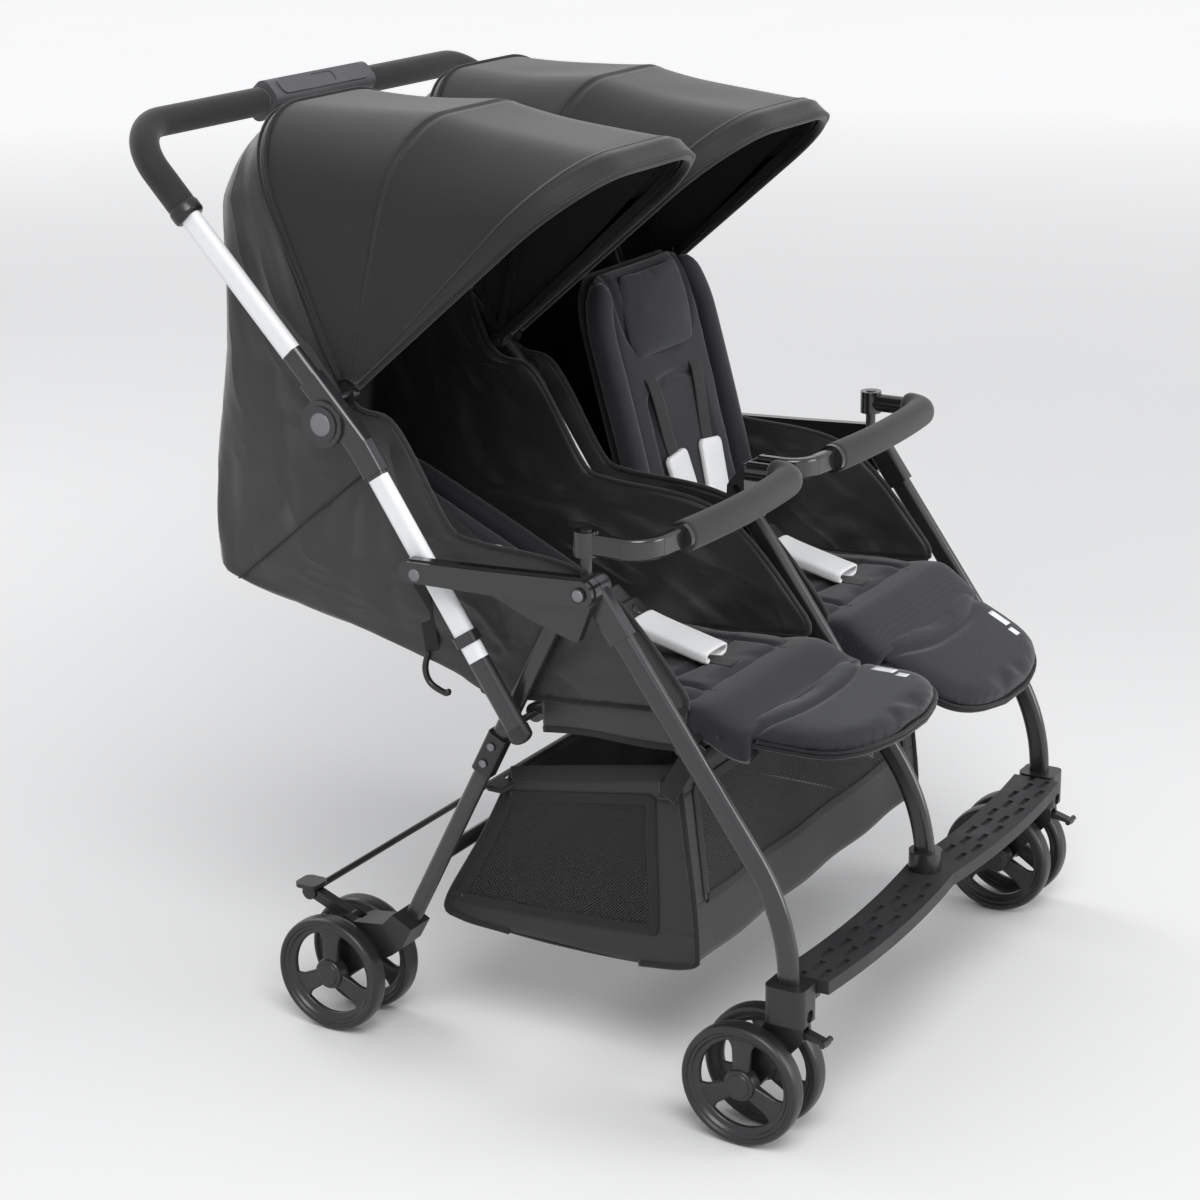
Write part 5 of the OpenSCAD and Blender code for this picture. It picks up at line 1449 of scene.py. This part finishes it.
class STROLLER_OT_basket(Piece, bpy.types.Operator):
    """Sew the basket: floor and ends, mesh windows, hems and hanging straps"""
    bl_idname = "stroller.basket"
    bl_label = "Sew the basket"

    def execute(self, context):
        grid, end = basket_grid(), basket_end()
        inside, legs = (0, -100, 260), ["front_leg_left", "rear_leg_left"]
        y, z = grid[:, 0, 1:].T
        front = np.flatnonzero((y < -230) & (z > 212) & (z < 345))  # rows of the front wall's window
        strips, hole, border = with_window(grid, rows=(front[0], front[-1]), columns=(4, 76))
        make = lambda part, patches, look, side=1, centre=None, replaced=(): piece(
            f"basket_{part}", patches, look, "front_frame", side, replaced, centre)
        body = make("body", strips, "basket_cloth", centre=inside, replaced=["basket"])
        thicken(body, 1.6)
        net = make("front_mesh", [patch(hole)], "basket_mesh", centre=inside)
        edge = make("front_tape", [tape(border, (0, -1, 0))], "binding")
        pieces, nets = [body, net, edge], [(net, hole, [])]
        hems = [tube(even_path(grid[k], 80), radius, Z_AXIS, flat=flat)
                for k, radius, flat in ((0, 6.0, 0.55), (-1, 7.0, 0.5))]
        straps = []
        for s in (-1, 1):
            mirror = np.array([s, 1, 1])
            hems += [tube(even_path(end[0], 60) * mirror, 10.0, Z_AXIS, sides=14, flat=0.45),
                     *(tube(even_path(end[:, k], 60) * mirror, 4.0, Y_AXIS, sides=10) for k in (-1, 0))]
            straps += [band(smooth_path(points, count) * mirror, width, thick, across)
                       for points, count, width, thick, across in (
                           ([(309, -238, 346), (309.6, -256, 378), (309.2, -276, 414)], 24, 22, 2.4, (0, 1, 0.5)),
                           ([(284, -222, 352), (300, -232, 350), (309, -236, 345)], 16, 14, 3, (0, 1, 0.5)),
                           ([(284, -23, 316), (300, -23, 316), (313.4, -23, 316)], 16, 20, 6, Y_AXIS))]
        hem, strap = make("hems", hems, "binding"), make("straps", straps, "webbing")
        pieces += [hem, strap]
        strips, hole, border = with_window(end, rows=(4, 25), columns=(2, 36))
        for name, side in SIDES:
            wall = make(f"end_{name}", strips, "basket_cloth", side, inside)
            thicken(wall, 1.6)
            net = make(f"mesh_{name}", [patch(hole)], "basket_mesh", side, inside)
            rim = make(f"tape_{name}", [tape(border, X_AXIS)], "binding", side)
            nets += [(wall, end, [rim]), (net, hole, [])]
            pieces += [wall, net, rim]
        for obj in pieces:
            spot(0, (-262, 165))
            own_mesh(obj)
        for obj, cut, held in [(body, grid, [hem, strap, edge]), *nets]:
            declare_sheet(cut, cut_area(obj))
        return {"FINISHED"}


# Handle and bars

def grip_line(along, count=110):
    """Middle line of a handle half: out from the console, a quarter bend and down the push tube."""
    bend, level, corner = 60, 285, np.linspace(0, PI / 2, 30)
    flat = np.concatenate([[(100.4, 0)], np.stack([np.linspace(104, 280, 30), np.zeros(30)], 1),
                           np.stack([level + bend * np.sin(corner), bend * np.cos(corner) - bend], 1),
                           np.stack([np.full(12, TUBE_X), np.linspace(-66, -112, 12)], 1)])
    path = even_path(flat, count)
    return path[:, :1] * np.array(X_AXIS) + path[:, 1:] * along + [0, *HANDLE]


class STROLLER_OT_grips(Piece, bpy.types.Operator):
    """Foam the handle: a sleeve round each bend with a moulded collar at its end"""
    bl_idname = "stroller.grips"
    bl_label = "Foam the handle"

    def execute(self, context):
        along, off = np.array([[0, *ray(90 - LEAN_HIGH)], [0, *ray(-LEAN_HIGH)]])
        points = grip_line(along)
        v = np.linspace(0, 1, len(points))
        grow = 1 - 0.06 * ridge(v, 0.006) - 0.05 * ridge(1 - v, 0.012)
        collar = [(0.5, 0), (15.8, 0), (17.6, 1.6), (18, 4), (18, 12), (17.4, 14.4), (16.2, 16), (0.5, 16)]
        base = np.array([TUBE_X, *HANDLE]) - 124 * along
        for name, side in SIDES:
            piece(f"grip_foam_{name}", [closed(swept(points, loop(16.5, 16.5, 1, 36), off, grow))],
                            "grip_foam", "push_frame", side, ["handle_grip"])
            piece(f"grip_collar_{name}", [spun(collar, base, along)], "black_plastic", "push_frame", side)
        return {"FINISHED"}


def bumper_line(count):
    """Middle line of a bumper pad from its collar: a shallow arc, then a quarter bend backwards.
    x is measured from the bar's flat arm."""
    turn, bend, run, span, y0, height = radians(6.0), 30.0, 40.0, 331.0, -238.0, 628.0
    arc = (span - 2 * bend * (1 - np.sin(turn)) - run * np.cos(turn)) / (2 * np.sin(turn))
    start = np.array([bend * (1 - np.sin(turn)), y0 + bend - bend * np.cos(turn)]) \
        + run * np.array([np.cos(turn), -np.sin(turn)])
    a = np.linspace(-turn, turn, 60)
    long = start + arc * np.stack([np.sin(a) + np.sin(turn), np.cos(turn) - np.cos(a)], 1)
    b = np.linspace(turn, PI / 2, 40)
    hook = long[-1] + bend * np.stack([np.sin(b) - np.sin(turn), np.cos(turn) - np.cos(b)], 1)
    return at_height(even_path(np.concatenate([long, hook[1:]]), count), height)


class STROLLER_OT_bumper_pads(Piece, bpy.types.Operator):
    """Foam the bumper bars: bowed pads, bent back at their right end, with a seam below"""
    bl_idname = "stroller.bumper_pads"
    bl_label = "Foam the bumper bars"

    def execute(self, context):
        line = bumper_line(120)
        v = np.linspace(0, 1, 120)
        grow = 1 - 0.10 * ridge(v, 0.006) - 0.12 * ridge(1 - v, 0.008)
        for name, shift in (("left", -TUBE_X), ("right", 14.0)):
            path = line + [shift, 0, 0]
            piece(f"bumper_foam_{name}", [closed(swept(path, loop(17, 17, 0.95, 40), Z_AXIS, grow))],
                            "foam", f"bumper_{name}", replaced=[f"bumper_pad_{name}"])
            piece(f"bumper_seam_{name}", [closed(swept(path[4:-4], loop(1.1, 0.7, 1, 8) + [-12.0, -12.0], Z_AXIS))],
                  "binding", f"bumper_{name}")
        return {"FINISHED"}


# Rivets of each body: x, side point, radius and height
RIVETS = {
    "front_frame": [(376.0, LEG_TOP, 6.5, 1.8)],
    "armrests": [(373.2, ARM_REAR, 7.0, 2.0)],
    "push_frame": [(360.4, TUBE_BEND + [42, 22], 13.0, 1.6)],
    "rear_frame": [(333.4, REAR_PIVOT + 192 * REAR_RUN, 4.5, 1.6), (333.4, REAR_PIVOT + 216 * REAR_RUN, 4.5, 1.6)],
}
RIVET_DOME = np.array([(0, 1), (0.5, 0.95), (0.85, 0.6), (1, 0.15)])


def rivet(x, point, radius, height, s):
    """Domed rivet head on a short shank, facing outwards on one side."""
    sunk, tip = -0.6, 0.2
    profile = np.concatenate([RIVET_DOME * [radius, height], [(radius, sunk), (tip, sunk)]])
    profile[0, 0] = tip
    return spun(profile, (x * s, *point), (s, 0, 0), 24)


class STROLLER_OT_fasteners(Piece, bpy.types.Operator):
    """Set rivets at the frame's pivots and plugs in the push tubes' lower ends"""
    bl_idname = "stroller.fasteners"
    bl_label = "Set the fasteners"

    def execute(self, context):
        for body, rows in RIVETS.items():
            heads = [rivet(*row, s) for row in rows for s in (-1, 1)]
            piece(f"fasteners_{body}", heads, "steel", body)
        line = SEAT_REAR + np.linspace(-23, -4, 30)[:, None] * ray(90 - LEAN_LOW)
        plugs = [closed(swept(at_x(TUBE_X * s, line), loop(8.6, 14.2, 0.75, 32), X_AXIS, rounded_ends(60, 0.22)[:30]))
                 for s in (-1, 1)]
        piece("tube_plugs", plugs, "black_plastic", "push_frame")
        return {"FINISHED"}


# Stage: name, place, aim, size and power of each light

LIGHTS = (("key", (-2.2, -1.6, 3.4), (0, 0, 0.5), 2.4, 95), ("fill", (0.9, -3.4, 1.5), (0, 0, 0.6), 2.2, 58),
          ("back", (0.6, 2.8, 2.6), (0, 0, 0.7), 2.0, 32))
FLOOR_RINGS = (0.001, 2.0, 5.0, 9.0, 14.0)
# Camera fitted to the photo: place, turn about the vertical, height above level, roll, lens
CAMERA_PLACE = (-2.71285, -1.58806 + ORIGIN_Y * MM, 1.45338)
CAMERA_TURN, CAMERA_RISE, CAMERA_ROLL, CAMERA_LENS = -59.277, 17.807, -0.851, 83.56


def facing(right, back, place, roll=0.0):
    """Matrix of a lamp or camera that looks against back, rolled about it."""
    up = np.cross(back, right)
    c, s = ray(roll)
    m = np.eye(4)
    m[:3] = np.stack([right * c + up * s, up * c - right * s, back, place], 1)
    return Matrix(m.tolist())


def lay_floor(colour):
    """Pale disc under the wheels that glows towards its far edge."""
    mat, tree, shader, where = new_finish("Studio floor")
    wear = use_group(tree, worn_group, where, Patch=1.5, Speck=60.0)
    far = add(tree, "VectorMath", {0: where}, "Value", operation="LENGTH")
    glow = math(tree, "DIVIDE", math(tree, "SUBTRACT", far, 1.5), 6.0, True)
    fill(tree, shader, {
        "Base Color": shades(tree, wear["Patches"], colour, 0.98, 1.02), "Roughness": 0.9,
        "Emission Color": mix(tree, glow, (0, 0, 0, 1), (0.5, 0.5, 0.5, 1)), "Emission Strength": 1.0})
    r, w = np.meshgrid(np.array(FLOOR_RINGS), np.linspace(0, 2 * PI, 49), indexing="ij")
    disc = np.stack([r * np.cos(w), r * np.sin(w), 0 * r - 0.0005], -1) / MM - [0, ORIGIN_Y, 0]
    make_piece("studio_floor", [patch(disc)], mat, centre=(0, 0, -9000))


def light_world(scene):
    """Pale sky, brighter to the camera and in reflections than as a light."""
    scene.world = world = bpy.data.worlds.new("Studio")
    world.use_nodes = True
    tree = world.node_tree
    rays = tree.nodes.new("ShaderNodeLightPath").outputs
    mirrored = math(tree, "MAXIMUM", rays["Is Glossy Ray"], rays["Is Transmission Ray"])
    seen = math(tree, "MAXIMUM", rays["Is Camera Ray"], mirrored)
    fill(tree, tree.nodes["Background"], {"Color": (0.92, 0.93, 0.95, 1), "Strength": remap(tree, seen, 0.55, 0.86)})


class STROLLER_OT_stage(Piece, bpy.types.Operator):
    """Lay the pale floor, hang the soft lights and stand the camera"""
    bl_idname = "stroller.stage"
    bl_label = "Set the stage"

    def execute(self, context):
        scene = context.scene
        lay_floor(tuple(scene.stroller_colours.floor))
        light_world(scene)
        for name, place, aim, size, power in LIGHTS:
            data = bpy.data.lights.new(name, "AREA")
            data.shape, data.size, data.energy = "DISK", size, power
            lamp = bpy.data.objects.new(name, data)
            back = unit(np.array(place) - np.array(aim))
            lamp.matrix_world = facing(unit(np.cross(Z_AXIS, back)), back, place)
            scene.collection.objects.link(lamp)
        scene.view_settings.view_transform = "Standard"
        camera = bpy.data.cameras.new("photo")
        camera.lens, camera.sensor_width, camera.clip_end = CAMERA_LENS, 36.0, 60.0
        camera.sensor_fit = "HORIZONTAL"
        scene.camera = stand = bpy.data.objects.new("photo", camera)
        (c, s), (level, rise) = ray(CAMERA_TURN), ray(CAMERA_RISE)
        stand.matrix_world = facing(np.array([c, s, 0]), np.array([s * level, -c * level, rise]), CAMERA_PLACE,
                                    CAMERA_ROLL)
        scene.collection.objects.link(stand)
        return {"FINISHED"}


STEPS = (STROLLER_OT_stage, STROLLER_OT_frame, STROLLER_OT_wheels, STROLLER_OT_canopies, STROLLER_OT_seat_shells,
         STROLLER_OT_backrests, STROLLER_OT_seat_pads, STROLLER_OT_legrests, STROLLER_OT_harnesses,
         STROLLER_OT_crotch_straps, STROLLER_OT_recline_straps, STROLLER_OT_basket, STROLLER_OT_grips,
         STROLLER_OT_bumper_pads, STROLLER_OT_fasteners)


class STROLLER_PT_panel(bpy.types.Panel):
    """Sizes, colours and steps of the stroller"""
    bl_idname = "STROLLER_PT_panel"
    bl_label = "Double stroller"
    bl_space_type = "VIEW_3D"
    bl_region_type = "UI"
    bl_category = "Stroller"

    def draw(self, context):
        for values in (context.scene.stroller_colours, context.scene.stroller_sizes):
            box = self.layout.box()
            for key in values.__annotations__:
                box.prop(values, key)
        for step in STEPS:
            self.layout.operator(step.bl_idname)


CLASSES = (StrollerColours, StrollerSizes, *STEPS, STROLLER_PT_panel)


def register():
    """Registers the classes and hangs the two groups of values on the scene."""
    for c in CLASSES:
        bpy.utils.register_class(c)
    bpy.types.Scene.stroller_colours = PointerProperty(type=StrollerColours)
    bpy.types.Scene.stroller_sizes = PointerProperty(type=StrollerSizes)


def unregister():
    """Takes back what register() has done."""
    del bpy.types.Scene.stroller_sizes
    del bpy.types.Scene.stroller_colours
    for c in reversed(CLASSES):
        bpy.utils.unregister_class(c)


def main():
    """Registers the add-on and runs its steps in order."""
    register()
    for step in STEPS:
        area, name = step.bl_idname.split(".")
        getattr(getattr(bpy.ops, area), name)()
    bpy.context.view_layer.update()


if __name__ == "__main__":
    main()
